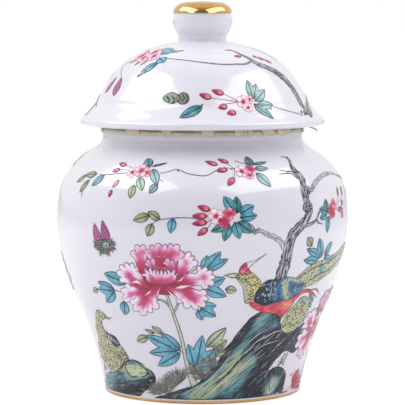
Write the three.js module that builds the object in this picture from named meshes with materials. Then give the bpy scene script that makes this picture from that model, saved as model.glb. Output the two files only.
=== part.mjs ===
// A lidded porcelain ginger jar: a baluster jar, a domed lid with a bun knob, and the cloth strip
// that is wrapped round the lid's locating collar so that the lid sits snugly in the neck.
// Millimetres, +Z up, origin at the centre of the foot, where the jar stands.
import * as THREE from 'three';

// Driving dimensions.
const SEGMENTS = 48; // facets round every turned piece
const CLEARANCE = 0.3; // air between pieces that touch
const FOOT_RADIUS = 53.3;
const BELLY_RADIUS = 78.7;
const BELLY_HEIGHT = 93;
const NECK_RADIUS = 53.8;
const LIP_HEIGHT = 141.6;
const WALL = 3.6; // the jar's wall
const FLOOR_UNDERSIDE = 5; // how far the base is turned out inside the foot ring
const FLOOR_TOP = 10.5;
const RIM_RADIUS = 65.8;
const RIM_UNDERSIDE = 144;
const RIM_THICKNESS = 3.4;
const CROWN_HEIGHT = 188.4; // where the dome meets the knob
const LID_WALL = 3.4;
const COLLAR_DEPTH = 13; // how far the lid's collar reaches below the rim's underside
const COLLAR_THICKNESS = 3;
const CLOTH = 1.1; // the cloth strip's thickness as it is pressed
const CLOTH_SKIRT = 3.2; // how far it hangs over the outside of the lip
const KNOB_RADIUS = 16;
const KNOB_FOOT_RADIUS = 12.8;
const TOP_HEIGHT = 210;
const GILT = 0.35; // the gilding's thickness, as a solid
const GILT_EDGE_HEIGHT = 203.6; // the lower edge of the knob's gilding

const RIM_TOP = RIM_UNDERSIDE + RIM_THICKNESS;
const BORE_RADIUS = NECK_RADIUS - WALL;
const CLOTH_INNER = BORE_RADIUS - CLEARANCE - CLOTH;
const COLLAR_RADIUS = CLOTH_INNER - CLEARANCE;

const porcelain = new THREE.MeshStandardMaterial({ color: 0xeeedf3, roughness: 0.08 });
const gilding = new THREE.MeshStandardMaterial({ color: 0xc99a4b, roughness: 0.18, metalness: 1 });
const cloth = new THREE.MeshStandardMaterial({ color: 0xbdb48c, roughness: 0.95 });

const point = (radius, height) => new THREE.Vector2(radius, height);

// Points along a smooth curve through the given ones, both ends included.
const smooth = (points, divisions) => new THREE.SplineCurve(points).getPoints(divisions);

// Points on a quarter round from one angle to another, in degrees about its centre.
function arc(centreRadius, centreHeight, radius, fromDegrees, toDegrees, steps = 3) {
  const found = [];
  for (let i = 0; i <= steps; i++) {
    const angle = THREE.MathUtils.degToRad(fromDegrees + ((toDegrees - fromDegrees) * i) / steps);
    found.push(point(centreRadius + radius * Math.cos(angle), centreHeight + radius * Math.sin(angle)));
  }
  return found;
}

// A turned solid. Its outline runs anticlockwise seen with the axis on the left, so faces point out.
function turned(name, outline, material) {
  const closed = outline[0].x > 0 ? [...outline, outline[0].clone()] : outline;
  const lathe = new THREE.LatheGeometry(closed, SEGMENTS);
  lathe.rotateX(Math.PI / 2); // the lathe turns about Y, and the part about Z
  const mesh = new THREE.Mesh(lathe, material);
  mesh.name = name;
  return mesh;
}

function jarBody() {
  const outside = [
    ...arc(FOOT_RADIUS - 1.4, 1.4, 1.4, -90, 0),
    ...smooth(
      [
        point(FOOT_RADIUS + 0.3, 3.2),
        point(56, 15),
        point(59.8, 28.5),
        point(65.4, 43.2),
        point(71.7, 58),
        point(76.4, 74.5),
        point(BELLY_RADIUS, BELLY_HEIGHT),
        point(76.6, 110.5),
        point(71.6, 120),
        point(65, 126.7),
        point(58.2, 131.4),
      ],
      22,
    ),
    point(55.1, 133.9),
    point(NECK_RADIUS, 136.4),
    ...arc(NECK_RADIUS - 1.2, LIP_HEIGHT - 1.2, 1.2, 0, 90),
  ];
  const inside = [
    ...arc(BORE_RADIUS + 1.2, LIP_HEIGHT - 1.2, 1.2, 90, 180),
    point(BORE_RADIUS, 133.5),
    ...smooth(
      [
        point(BORE_RADIUS + 1.6, 130.6),
        point(60.5, 124.7),
        point(68.4, 117.4),
        point(73.2, 108.6),
        point(BELLY_RADIUS - WALL, BELLY_HEIGHT),
        point(72.6, 74.5),
        point(67.8, 58),
        point(61.3, 43.2),
        point(55.6, 28.5),
        point(51, 17),
      ],
      13,
    ),
    ...arc(44, FLOOR_TOP + 4, 4, -40, -90, 2),
    point(0, FLOOR_TOP),
  ];
  const underside = [
    point(0, FLOOR_UNDERSIDE),
    point(45, FLOOR_UNDERSIDE),
    point(46.2, FLOOR_UNDERSIDE - 1.2),
    point(46.6, 0),
  ];
  return turned('jar_body', [...underside, ...outside, ...inside], porcelain);
}

// The gold line painted round the rounded edge of the foot.
function footGilding() {
  const bend = FOOT_RADIUS - 1.4;
  const near = 1.4 + CLEARANCE;
  const outline = [
    ...arc(bend, 1.4, near + GILT, -30, 0, 2),
    point(FOOT_RADIUS + 0.1 + CLEARANCE + GILT, 2.6),
    point(FOOT_RADIUS + 0.1 + CLEARANCE, 2.6),
    ...arc(bend, 1.4, near, 0, -30, 2),
  ];
  return turned('foot_gilding', outline, gilding);
}

// The domed lid with its flared rim. The collar under it is a piece of its own.
function lidDome() {
  const outside = [
    ...arc(RIM_RADIUS - 1, RIM_UNDERSIDE + 1, 1, -90, 0, 2),
    ...arc(RIM_RADIUS - 1.3, RIM_TOP - 1.3, 1.3, 0, 60, 2),
    ...smooth(
      [
        point(63.2, 148.9),
        point(60.3, 152.1),
        point(57.6, 155),
        point(56, 158.4),
        point(53.9, 162.2),
        point(50.2, 167.9),
        point(45, 174.6),
        point(37.6, 180.4),
        point(27.5, 185),
        point(18.4, 187.4),
      ],
      16,
    ),
    point(KNOB_FOOT_RADIUS, CROWN_HEIGHT),
    point(0, CROWN_HEIGHT),
  ];
  const inside = [
    point(0, CROWN_HEIGHT - LID_WALL - 0.6),
    ...smooth(
      [
        point(13, 184.2),
        point(26, 181.6),
        point(35.6, 177.3),
        point(42.2, 172),
        point(47.2, 165.4),
        point(50.4, 159.6),
        point(52, 154),
        point(52.4, 149),
      ],
      9,
    ),
    point(52.6, RIM_UNDERSIDE),
  ];
  return turned('lid_dome', [...outside, ...inside], porcelain);
}

// The collar luted under the dome, which drops into the neck and keeps the lid in its place.
function lidCollar() {
  const inner = COLLAR_RADIUS - COLLAR_THICKNESS;
  const bottom = RIM_UNDERSIDE - COLLAR_DEPTH;
  const outline = [
    point(inner, bottom + 0.8),
    point(inner + 0.8, bottom),
    point(COLLAR_RADIUS - 0.8, bottom),
    point(COLLAR_RADIUS, bottom + 0.8),
    point(COLLAR_RADIUS, RIM_UNDERSIDE + 4.4),
    point(COLLAR_RADIUS + 1.6, RIM_UNDERSIDE + 6.4),
    point(inner, RIM_UNDERSIDE + 6.4),
  ];
  return turned('lid_collar', outline, porcelain);
}

// The bun knob, thrown by itself and luted to the crown of the dome.
function knobOutline(grow) {
  return smooth(
    [
      point(KNOB_FOOT_RADIUS + 0.4 + grow, CROWN_HEIGHT + 3.4),
      point(14.2 + grow, 193.4),
      point(KNOB_RADIUS - 0.3 + grow, 197.4),
      point(KNOB_RADIUS + grow, 200.2),
      point(15.5 + grow, 203.4),
      point(14.2 + grow, 206.4),
      point(10.6 + grow * 0.7, TOP_HEIGHT - GILT - CLEARANCE - 1 + grow * 0.8),
      point(0, TOP_HEIGHT - GILT - CLEARANCE + grow),
    ],
    12,
  );
}

function lidKnob() {
  const outline = [
    point(0, CROWN_HEIGHT + CLEARANCE),
    point(KNOB_FOOT_RADIUS, CROWN_HEIGHT + CLEARANCE),
    ...knobOutline(0),
  ];
  return turned('lid_knob', outline, porcelain);
}

// The gilding over the top of the knob.
function knobGilding() {
  const above = (outline) => outline.filter((p) => p.y > GILT_EDGE_HEIGHT);
  const outer = above(knobOutline(CLEARANCE + GILT));
  const inner = above(knobOutline(CLEARANCE)).reverse();
  return turned('knob_gilding', [...outer, ...inner], gilding);
}

// The cloth strip: inside the neck it fills the gap round the collar, and it folds over the lip.
function clothStrip() {
  const over = LIP_HEIGHT + CLEARANCE;
  const outside = NECK_RADIUS + CLEARANCE;
  const outline = [
    point(CLOTH_INNER, RIM_UNDERSIDE - COLLAR_DEPTH + 1.5),
    point(CLOTH_INNER + CLOTH, RIM_UNDERSIDE - COLLAR_DEPTH + 1.5),
    point(CLOTH_INNER + CLOTH, over),
    point(outside, over),
    point(outside, over - CLOTH_SKIRT + CLOTH),
    point(outside + 0.8, over - CLOTH_SKIRT + CLOTH),
    point(outside + 0.8, over + 0.7),
    point(outside - 0.2, over + CLOTH),
    point(CLOTH_INNER, over + CLOTH),
  ];
  return turned('cloth_strip', outline, cloth);
}

// The strip's cut end, which stands out from under the rim at one side.
function clothEnd() {
  const length = 6.2;
  const start = NECK_RADIUS + CLEARANCE + 0.8 + CLEARANCE;
  const tip = 3.1; // the end flares where its weave has come loose
  const side = new THREE.Shape([
    point(0, 0),
    point(length, -tip * 0.25),
    point(length, tip * 0.5),
    point(0, 1.1),
  ]);
  const geometry = new THREE.ExtrudeGeometry(side, { depth: 5.5, bevelEnabled: false });
  geometry.translate(0, 0, -2.75);
  geometry.rotateX(Math.PI / 2);
  const mesh = new THREE.Mesh(geometry, cloth);
  mesh.name = 'cloth_end';
  mesh.position.set(start, 0, LIP_HEIGHT - 0.7);
  return mesh;
}

const jar = new THREE.Group();
jar.add(jarBody(), footGilding());

const strip = new THREE.Group();
strip.add(clothStrip(), clothEnd());

const lid = new THREE.Group();
lid.add(lidDome(), lidCollar(), lidKnob(), knobGilding());

const gingerJar = new THREE.Group();
gingerJar.add(jar, strip, lid);

export default gingerJar;
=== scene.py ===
import math
import random

import bpy
import numpy as np
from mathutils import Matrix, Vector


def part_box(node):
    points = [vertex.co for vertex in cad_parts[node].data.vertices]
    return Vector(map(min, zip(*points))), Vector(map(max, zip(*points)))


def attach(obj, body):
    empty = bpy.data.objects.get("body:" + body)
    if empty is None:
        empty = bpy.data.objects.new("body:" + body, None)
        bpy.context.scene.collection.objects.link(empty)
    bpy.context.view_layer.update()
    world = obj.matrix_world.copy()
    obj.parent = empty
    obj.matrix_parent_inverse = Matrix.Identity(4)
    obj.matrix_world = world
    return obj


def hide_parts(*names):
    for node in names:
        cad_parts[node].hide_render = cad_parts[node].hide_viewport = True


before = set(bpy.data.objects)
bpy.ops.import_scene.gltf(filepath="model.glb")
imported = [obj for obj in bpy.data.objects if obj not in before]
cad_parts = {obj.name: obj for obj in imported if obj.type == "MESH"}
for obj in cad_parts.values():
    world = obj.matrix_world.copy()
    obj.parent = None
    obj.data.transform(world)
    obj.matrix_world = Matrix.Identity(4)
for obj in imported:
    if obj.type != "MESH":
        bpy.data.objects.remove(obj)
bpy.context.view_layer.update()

MM = 0.001

CAMERA_DISTANCE = 1.28
CAMERA_HEIGHT = 0.2119
AIM_HEIGHT = 0.1012
LENS = 211.0

TURN_STEPS = 192
FINE = 1.6 * MM  # the longest step along a turned outline

FOOT_GILT_GAP = 0.75 * MM  # how far the CAD's gold stands off the foot
FOOT_EDGE = 1.4 * MM  # the foot's rounding

GLAZE_GAP = 0.04  # mm of lift under the lowest enamel
LAYER = 0.014  # mm between one layer of enamel and the next
ENAMEL = 0.02  # mm, the thickness of a layer
DOME = 0.012  # mm that a patch swells away from its edge
REACH = 0.9  # mm over which it swells

FLOOR_RADIUS = 14
FLOOR_DROP = 0.2 * MM  # how far the floor lies under the foot, so that the two don't flicker
PINHOLE_SHARE = 0.93  # the share of the glaze's cells that have no pinhole
WARP_STEP = 0.9  # mm from thread to thread
WEFT_STEP = 0.8


# ------------------------------------------------------------------ camera, light and floor

def set_camera():
    bpy.ops.object.camera_add(location=(0, -CAMERA_DISTANCE, CAMERA_HEIGHT))
    camera = bpy.context.object
    camera.name = "camera"
    fall = math.atan2(CAMERA_HEIGHT - AIM_HEIGHT, CAMERA_DISTANCE)
    camera.rotation_euler = (math.pi / 2 - fall, 0, 0)
    camera.data.lens = LENS
    camera.data.sensor_width = 36
    camera.data.clip_end = 100
    bpy.context.scene.camera = camera


def add_softbox(name, bearing, elevation, distance, size, power, colour=(1, 1, 1)):
    """An area light that looks at the jar's middle. The bearing is in degrees from the front."""
    turn, rise = math.radians(bearing), math.radians(elevation)
    flat = distance * math.cos(rise)
    place = (flat * math.sin(turn), -flat * math.cos(turn), 0.1 + distance * math.sin(rise))
    bpy.ops.object.light_add(type="AREA", location=place)
    light = bpy.context.object
    light.name = name
    light.data.shape = "RECTANGLE"
    light.data.size, light.data.size_y = size
    light.data.energy = power
    light.data.color = colour
    light.rotation_euler = (math.pi / 2 - rise, 0, turn)


def set_studio():
    """A bright tent, darker where the camera stands, with a softbox high on each side."""
    scene = bpy.context.scene
    scene.view_settings.view_transform = "Standard"
    world = bpy.data.worlds.new("tent")
    world.use_nodes = True
    tree = world.node_tree
    background = tree.nodes["Background"]
    direction = node(tree, "ShaderNodeTexCoord").outputs["Generated"]
    along = node(tree, "ShaderNodeSeparateXYZ", Vector=direction).outputs["Y"]
    share = calc(tree, "MULTIPLY_ADD", along, 0.5, 0.5)
    tone = ramp(tree, share, [(0.0, (0.17, 0.17, 0.19, 1)), (0.22, (0.36, 0.36, 0.38, 1)),
                              (0.5, (0.8, 0.8, 0.81, 1)), (1.0, (0.86, 0.86, 0.86, 1))])
    seen = node(tree, "ShaderNodeLightPath").outputs["Is Camera Ray"]
    tree.links.new(blend(tree, seen, tone, (1, 1, 1, 1)), background.inputs["Color"])
    scene.world = world
    add_softbox("softbox_left", -75, 48, 1.2, (1.5, 0.62), 8.6)
    add_softbox("softbox_right", 68, 48, 1.2, (1.6, 0.62), 8.0)
    bpy.ops.mesh.primitive_circle_add(vertices=96, radius=FLOOR_RADIUS, fill_type="NGON",
                                      location=(0, 0, -FLOOR_DROP))
    floor = bpy.context.object
    floor.name = "floor"
    material = bpy.data.materials.new("pale_paper")
    material.use_nodes = True
    tree = material.node_tree
    shader = tree.nodes["Principled BSDF"]
    grain = node(tree, "ShaderNodeTexNoise", Vector=object_place(tree), Scale=6.0).outputs[0]
    pale = ramp(tree, grain, [(0.3, (0.86, 0.86, 0.87, 1)), (0.7, (0.90, 0.90, 0.905, 1))])
    tree.links.new(pale, shader.inputs["Base Color"])
    shader.inputs["Roughness"].default_value = 0.9
    shader.inputs["Emission Color"].default_value = (1, 1, 1, 1)
    seen = node(tree, "ShaderNodeLightPath").outputs["Is Camera Ray"]
    tree.links.new(calc(tree, "MULTIPLY", seen, 0.45), shader.inputs["Emission Strength"])
    floor.data.materials.append(material)


# ------------------------------------------------------------------ nodes

def ink(red, green, blue):
    """A colour from its 0 to 255 screen values."""
    def linear(value):
        share = value / 255
        return share / 12.92 if share <= 0.04045 else ((share + 0.055) / 1.055) ** 2.4
    return linear(red), linear(green), linear(blue), 1.0


def feed(tree, socket, value):
    if isinstance(value, bpy.types.NodeSocket):
        tree.links.new(value, socket)
    else:
        socket.default_value = value


def node(tree, kind, settings=None, **values):
    made = tree.nodes.new(kind)
    for name, value in (settings or {}).items():
        setattr(made, name, value)
    for name, value in values.items():
        feed(tree, made.inputs[name.replace("_", " ")], value)
    return made


def calc(tree, operation, *terms, clamp=False):
    made = node(tree, "ShaderNodeMath", {"operation": operation, "use_clamp": clamp})
    for socket, term in zip(made.inputs, terms):
        feed(tree, socket, term)
    return made.outputs[0]


def blend(tree, share, first, second, how="MIX"):
    made = node(tree, "ShaderNodeMix", {"data_type": "RGBA", "blend_type": how})
    for index, value in ((0, share), (6, first), (7, second)):
        feed(tree, made.inputs[index], value)
    return made.outputs[2]


def ramp(tree, share, stops):
    made = node(tree, "ShaderNodeValToRGB", Fac=share)
    elements = made.color_ramp.elements
    elements[0].position, elements[0].color = stops[0]
    elements[1].position, elements[1].color = stops[-1]
    for place, colour in stops[1:-1]:
        elements.new(place).color = colour
    return made.outputs["Color"]


def colours(tree, share, *stops):
    """A ramp of screen colours, each one (place, red, green, blue)."""
    return ramp(tree, share, [(place, ink(*shade)) for place, *shade in stops])


def band(tree, value, low, high, out_low=0.0, out_high=1.0):
    """A smooth step: out_low below low and out_high above high."""
    return node(tree, "ShaderNodeMapRange", {"interpolation_type": "SMOOTHSTEP"}, Value=value,
                From_Min=low, From_Max=high, To_Min=out_low, To_Max=out_high).outputs[0]


def attribute(tree, name):
    return node(tree, "ShaderNodeAttribute", {"attribute_name": name}).outputs["Fac"]


def paper_uv(tree):
    """The two numbers that a patch carries from the paper."""
    uv = node(tree, "ShaderNodeUVMap", {"uv_map": "paper"}).outputs["UV"]
    parts = node(tree, "ShaderNodeSeparateXYZ", Vector=uv)
    return parts.outputs["X"], parts.outputs["Y"]


def object_place(tree):
    return node(tree, "ShaderNodeTexCoord").outputs["Object"]


def object_noise(tree, scale, detail=3.0, roughness=0.55):
    return node(tree, "ShaderNodeTexNoise", Vector=object_place(tree), Scale=scale, Detail=detail,
                Roughness=roughness).outputs[0]


def new_group(name, inputs, outputs):
    """An empty node group with float inputs, {name: default}, and float outputs."""
    made = bpy.data.node_groups.new(name, "ShaderNodeTree")
    for label, default in inputs.items():
        made.interface.new_socket(label, in_out="INPUT",
            socket_type="NodeSocketFloat").default_value = default
    for label in outputs:
        made.interface.new_socket(label, in_out="OUTPUT", socket_type="NodeSocketFloat")
    return made, made.nodes.new("NodeGroupInput").outputs, made.nodes.new("NodeGroupOutput").inputs


def make_fired_surface():
    """What the kiln leaves on any glaze or enamel: a faint ripple and a roughness that wanders."""
    tree, given, found = new_group("fired surface", {"Roughness": 0.2, "Ripple": 1.0},
        ["Roughness", "Height"])
    broad = object_noise(tree, 55.0, 2.0)
    fine = object_noise(tree, 900.0, 2.0)
    wander = calc(tree, "MULTIPLY_ADD", broad, 0.5, 0.75)
    feed(tree, found["Roughness"], calc(tree, "MULTIPLY", given["Roughness"], wander))
    height = calc(tree, "MULTIPLY_ADD", fine, 0.12, broad)
    feed(tree, found["Height"], calc(tree, "MULTIPLY", height, given["Ripple"]))
    return tree


def make_drawn_line():
    """The painter's outline: a mask near a patch's edge, thicker and thinner as the brush goes."""
    tree, given, found = new_group("drawn line", {"Rim": 1.0, "Width": 0.4, "Wander": 0.5}, ["Mask"])
    sway = calc(tree, "SUBTRACT", object_noise(tree, 260.0, 2.0), 0.5)
    width = calc(tree, "MULTIPLY", given["Width"], calc(tree, "MULTIPLY_ADD", sway, given["Wander"], 1.0))
    inner = calc(tree, "MULTIPLY", width, 0.55)
    feed(tree, found["Mask"], band(tree, given["Rim"], inner, width, 1.0, 0.0))
    return tree


def make_brush_marks():
    """Streaks that a loaded brush leaves along its way."""
    tree, given, found = new_group("brush marks", {"Along": 0.0, "Across": 0.0, "Length": 0.2, "Width": 2.0,
                                                   "Edge": 0.5}, ["Mask", "Tone"])
    place = node(tree, "ShaderNodeCombineXYZ", X=calc(tree, "MULTIPLY", given["Along"], given["Length"]),
                 Y=calc(tree, "MULTIPLY", given["Across"], given["Width"]))
    noise = node(tree, "ShaderNodeTexNoise", Vector=place.outputs[0], Scale=1.0, Detail=4.0, Roughness=0.6)
    feed(tree, found["Tone"], noise.outputs[0])
    low = calc(tree, "SUBTRACT", given["Edge"], 0.05)
    high = calc(tree, "ADD", given["Edge"], 0.05)
    feed(tree, found["Mask"], band(tree, noise.outputs[0], low, high))
    return tree


FIRED = make_fired_surface()
LINE = make_drawn_line()
BRUSH = make_brush_marks()


def use(tree, group, **values):
    return node(tree, "ShaderNodeGroup", {"node_tree": group}, **values).outputs


def streaks(tree, length, width, what="Tone", edge=0.5, aside=0.0):
    """Brush marks along a cut of enamel; aside moves the pattern, so that two don't match."""
    along, across = paper_uv(tree)
    if aside:
        across = calc(tree, "ADD", across, aside)
    return use(tree, BRUSH, Along=along, Across=across, Length=length, Width=width, Edge=edge)[what]


def outline_mask(tree, width, wander):
    return use(tree, LINE, Rim=attribute(tree, "rim"), Width=width, Wander=wander)["Mask"]


def outlined(tree, colour, line_colour, width=0.5, wander=1.0, strength=0.8):
    """The colour with the painter's outline drawn over its edge."""
    edge = calc(tree, "MULTIPLY", outline_mask(tree, width, wander), strength)
    return blend(tree, edge, colour, line_colour)


def finish(name, paint, roughness=0.25, ripple=1.0, coat=0.35, shine=0.3, metallic=0.0, bump=0.25):
    """A fired finish. paint(tree) makes the nodes of its colour and returns the socket."""
    material = bpy.data.materials.new(name)
    material.use_nodes = True
    tree = material.node_tree
    shader = tree.nodes["Principled BSDF"]
    surface = use(tree, FIRED, Roughness=roughness, Ripple=ripple)
    feed(tree, shader.inputs["Base Color"], paint(tree))
    feed(tree, shader.inputs["Roughness"], surface["Roughness"])
    relief = node(tree, "ShaderNodeBump", Strength=bump, Distance=0.02 * MM, Height=surface["Height"])
    feed(tree, shader.inputs["Normal"], relief.outputs[0])
    shader.inputs["Metallic"].default_value = metallic
    shader.inputs["Coat Weight"].default_value = coat
    shader.inputs["Specular IOR Level"].default_value = shine
    shader.inputs["Coat Roughness"].default_value = 0.03
    return material


# ------------------------------------------------------------------ finishes

def glaze_colour(tree):
    """Bluish white porcelain glaze with soft clouds and a few pinholes."""
    cloud = colours(tree, object_noise(tree, 14.0, 3.0), (0.3, 219, 217, 227), (0.7, 225, 223, 231))
    spots = node(tree, "ShaderNodeTexVoronoi", Vector=object_place(tree), Scale=90.0, Randomness=1.0)
    parts = node(tree, "ShaderNodeSeparateColor", Color=spots.outputs["Color"])
    chosen = calc(tree, "GREATER_THAN", parts.outputs[0], PINHOLE_SHARE)
    speck = calc(tree, "MULTIPLY", band(tree, spots.outputs["Distance"], 0.015, 0.03, 0.5, 0.0), chosen)
    return blend(tree, speck, cloud, ink(150, 140, 135))


def biscuit_colour(tree):
    return colours(tree, object_noise(tree, 700.0, 4.0), (0.35, 196, 184, 170), (0.65, 222, 214, 204))


def gold_colour(tree):
    """Burnished gold, thin and rubbed pale where the brush ran out."""
    rubbed = band(tree, object_noise(tree, 120.0, 5.0, 0.7), 0.6, 0.72)
    gold = colours(tree, object_noise(tree, 40.0), (0.3, 220, 166, 98), (0.7, 238, 192, 126))
    return blend(tree, calc(tree, "MULTIPLY", rubbed, 0.35), gold, ink(236, 214, 170))


def leaf_colour(tree):
    """Turquoise to olive by the tint: a wash, darker to the midrib, with veins and a dark outline."""
    along, across = paper_uv(tree)
    body = colours(tree, attribute(tree, "tint"), (0.0, 58, 150, 168), (0.25, 102, 176, 208),
        (0.45, 38, 118, 118), (0.7, 158, 194, 196), (0.85, 188, 200, 156), (1.0, 168, 166, 118))
    wash = streaks(tree, 3.0, 2.5)
    toned = blend(tree, band(tree, wash, 0.4, 0.72, 0.0, 0.5), body, ink(176, 222, 228))
    deep = blend(tree, 1.0, body, ink(120, 150, 160), "MULTIPLY")
    toned = blend(tree, band(tree, along, 0.1, 0.5, 0.6, 0.0), toned, deep)
    side = calc(tree, "ABSOLUTE", across)
    vein = calc(tree, "FRACT", calc(tree, "MULTIPLY_ADD", side, -1.3, calc(tree, "MULTIPLY", along, 6.0)))
    veins = calc(tree, "MULTIPLY", band(tree, vein, 0.0, 0.28, 1.0, 0.0),
        band(tree, wash, 0.4, 0.6, 0.2, 0.9))
    rib = calc(tree, "MULTIPLY", band(tree, side, 0.06, 0.17, 1.0, 0.0),
        band(tree, along, 0.8, 0.95, 1.0, 0.0))
    edge = outline_mask(tree, 0.5, 1.6)
    drawn = calc(tree, "MAXIMUM", edge, calc(tree, "MAXIMUM", calc(tree, "MULTIPLY", veins, 0.75), rib))
    dark = blend(tree, 0.6, blend(tree, 1.0, body, ink(90, 100, 115), "MULTIPLY"), ink(34, 44, 54))
    return blend(tree, calc(tree, "MULTIPLY", drawn, 0.95), toned, dark)


def peony_colour(tree):
    """Nearly white at the scalloped edge, then rose, then crimson: the first number is mm from the edge."""
    inward = paper_uv(tree)[0]
    streak = streaks(tree, 0.12, 5.0)
    place = calc(tree, "MULTIPLY_ADD", inward, 1 / 10, calc(tree, "MULTIPLY_ADD", streak, 0.44, -0.22))
    place = calc(tree, "ADD", place, attribute(tree, "tint"))
    wash = colours(tree, place, (0.1, 236, 226, 240), (0.2, 234, 200, 226), (0.3, 220, 134, 178),
        (0.42, 200, 78, 124), (0.62, 184, 52, 86), (1.0, 156, 36, 62))
    return outlined(tree, wash, ink(132, 48, 96), 0.5, 0.7, 0.9)


def blossom_colour(tree):
    """Small five-petalled blossoms: pale with a pink flush by the tint and a thin rose outline."""
    along = paper_uv(tree)[0]
    flush = calc(tree, "ADD", attribute(tree, "tint"), calc(tree, "MULTIPLY_ADD", along, -0.55, 0.3))
    wash = colours(tree, flush, (0.0, 246, 232, 240), (0.4, 240, 186, 208), (0.75, 222, 96, 132),
        (1.0, 186, 40, 72))
    return outlined(tree, wash, ink(186, 74, 112), 0.34, 1.0, 0.8)


def bud_colour(tree):
    """Crimson buds with a lighter flank and a dark base."""
    along, across = paper_uv(tree)
    streak = streaks(tree, 1.0, 3.0)
    light = calc(tree, "ADD", calc(tree, "MULTIPLY", across, 0.35), streak)
    wash = colours(tree, light, (0.3, 150, 28, 68), (0.6, 190, 54, 100), (0.9, 234, 150, 186))
    wash = blend(tree, band(tree, along, 0.0, 0.3, 0.7, 0.0), wash, ink(110, 26, 48))
    core = calc(tree, "MULTIPLY", band(tree, attribute(tree, "rim"), 0.55, 1.0),
        band(tree, along, 0.25, 0.6, 0.5, 0.0))
    wash = blend(tree, core, wash, ink(240, 190, 190))
    wash = blend(tree, calc(tree, "MULTIPLY", attribute(tree, "tint"), -1.0, clamp=True), wash,
        ink(240, 200, 220))
    return outlined(tree, wash, ink(126, 26, 54), 0.4, 1.0, 0.85)


def stem_colour(tree):
    """Thin stems, hairs and moss by the tint: grey-brown, pink, grey-green, olive and black."""
    tone = streaks(tree, 0.5, 1.0)
    colour = colours(tree, attribute(tree, "tint"), (0.0, 96, 92, 100), (0.2, 196, 100, 140),
        (0.35, 150, 48, 94), (0.5, 120, 134, 120), (0.75, 112, 112, 86), (1.0, 38, 36, 44))
    return blend(tree, band(tree, tone, 0.4, 0.75, 0.0, 0.45), colour, ink(205, 205, 205))


def stroke_colour(tree):
    """Loose brush strokes by the tint: ink, crimson, teal, pale green and nearly white."""
    tone = streaks(tree, 0.5, 1.0)
    colour = colours(tree, attribute(tree, "tint"), (0.0, 26, 28, 42), (0.3, 176, 40, 72),
        (0.6, 66, 118, 128), (0.72, 112, 168, 174), (0.92, 216, 216, 222), (1.0, 20, 22, 32))
    return blend(tree, band(tree, tone, 0.45, 0.8, 0.0, 0.3), colour, ink(205, 212, 212))


def stalk_colour(tree):
    """The peony's stalk: pale grey-green between two dark lines."""
    tone = streaks(tree, 0.3, 2.0)
    wash = colours(tree, tone, (0.3, 178, 180, 160), (0.7, 224, 224, 214))
    return outlined(tree, wash, ink(74, 78, 72), 0.55, 1.0, 1.0)


def bark_colour(tree):
    """Old prunus bark: black strokes along the wood with white and lilac ones between, paler by the tint."""
    tint = attribute(tree, "tint")
    dark = streaks(tree, 0.3, 2.4)
    light = streaks(tree, 0.2, 3.0, "Mask", 0.55, 7.0)
    place = calc(tree, "MULTIPLY_ADD", tint, 0.16, dark)
    wash = colours(tree, place, (0.46, 16, 16, 24), (0.51, 52, 52, 64), (0.58, 132, 132, 150),
        (0.66, 204, 204, 220))
    wash = blend(tree, calc(tree, "MULTIPLY", light, 0.85), wash, ink(226, 226, 236))
    edge = outline_mask(tree, 0.6, 1.8)
    return blend(tree, calc(tree, "MULTIPLY", edge, calc(tree, "MULTIPLY_ADD", tint, -0.4, 0.95)), wash,
        ink(26, 26, 36))


def rock_colour(tree):
    """Rocks in ink and teal: long streaks up the slope, pale green where the wash was left thin."""
    tint = attribute(tree, "tint")
    broad = streaks(tree, 0.028, 0.16)
    fine = streaks(tree, 0.06, 0.9)
    hair = streaks(tree, 0.09, 1.5, "Mask", 0.62, 31.0)
    place = calc(tree, "ADD", calc(tree, "MULTIPLY", broad, 0.75), calc(tree, "MULTIPLY", fine, 0.35))
    place = calc(tree, "ADD", place, calc(tree, "MULTIPLY_ADD", tint, 0.5, -0.25))
    wash = colours(tree, place, (0.38, 34, 36, 50), (0.48, 52, 62, 78), (0.56, 66, 116, 126),
        (0.64, 104, 152, 162), (0.74, 150, 168, 146), (0.9, 196, 200, 158))
    wash = blend(tree, calc(tree, "MULTIPLY", hair, 0.5), wash, ink(214, 224, 222))
    dark = streaks(tree, 0.07, 1.1, "Mask", 0.6, 57.0)
    wash = blend(tree, calc(tree, "MULTIPLY", dark, 0.75), wash, ink(36, 38, 50))
    return outlined(tree, wash, ink(36, 38, 50), 0.8, 1.8, 0.8)


def plumage_colour(tree):
    """Feathers by the tint: olive, ink blue, blue, pale olive and yellow, all with small dark scales, then
    crimson and orange without them."""
    along, across = paper_uv(tree)
    tint = attribute(tree, "tint")
    place = node(tree, "ShaderNodeCombineXYZ", X=along, Y=across).outputs[0]
    cells = node(tree, "ShaderNodeTexVoronoi", Vector=place, Scale=0.8, Randomness=0.3)
    tone = streaks(tree, 0.3, 0.8)
    body = colours(tree, tint, (0.0, 178, 174, 122), (0.2, 30, 36, 56), (0.4, 72, 134, 184),
        (0.5, 196, 200, 158), (0.6, 206, 202, 128), (0.8, 198, 50, 82), (1.0, 222, 138, 96))
    light = colours(tree, tint, (0.0, 220, 218, 180), (0.2, 62, 82, 116), (0.4, 146, 196, 220),
        (0.5, 220, 222, 194), (0.6, 226, 222, 160), (0.8, 226, 110, 120), (1.0, 240, 180, 130))
    scale = colours(tree, tint, (0.0, 70, 66, 44), (0.2, 12, 14, 26), (0.4, 26, 52, 110), (0.5, 104, 104, 80),
        (0.7, 92, 88, 50), (1.0, 170, 60, 50))
    body = blend(tree, band(tree, tone, 0.42, 0.66), body, light)
    spot = band(tree, cells.outputs["Distance"], 0.4, 0.54)
    plain = band(tree, tint, 0.7, 0.78, 1.0, 0.0)
    body = blend(tree, calc(tree, "MULTIPLY", calc(tree, "MULTIPLY", spot, plain), 0.85), body, scale)
    return outlined(tree, body, scale, 0.5, 1.6, 0.8)


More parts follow.
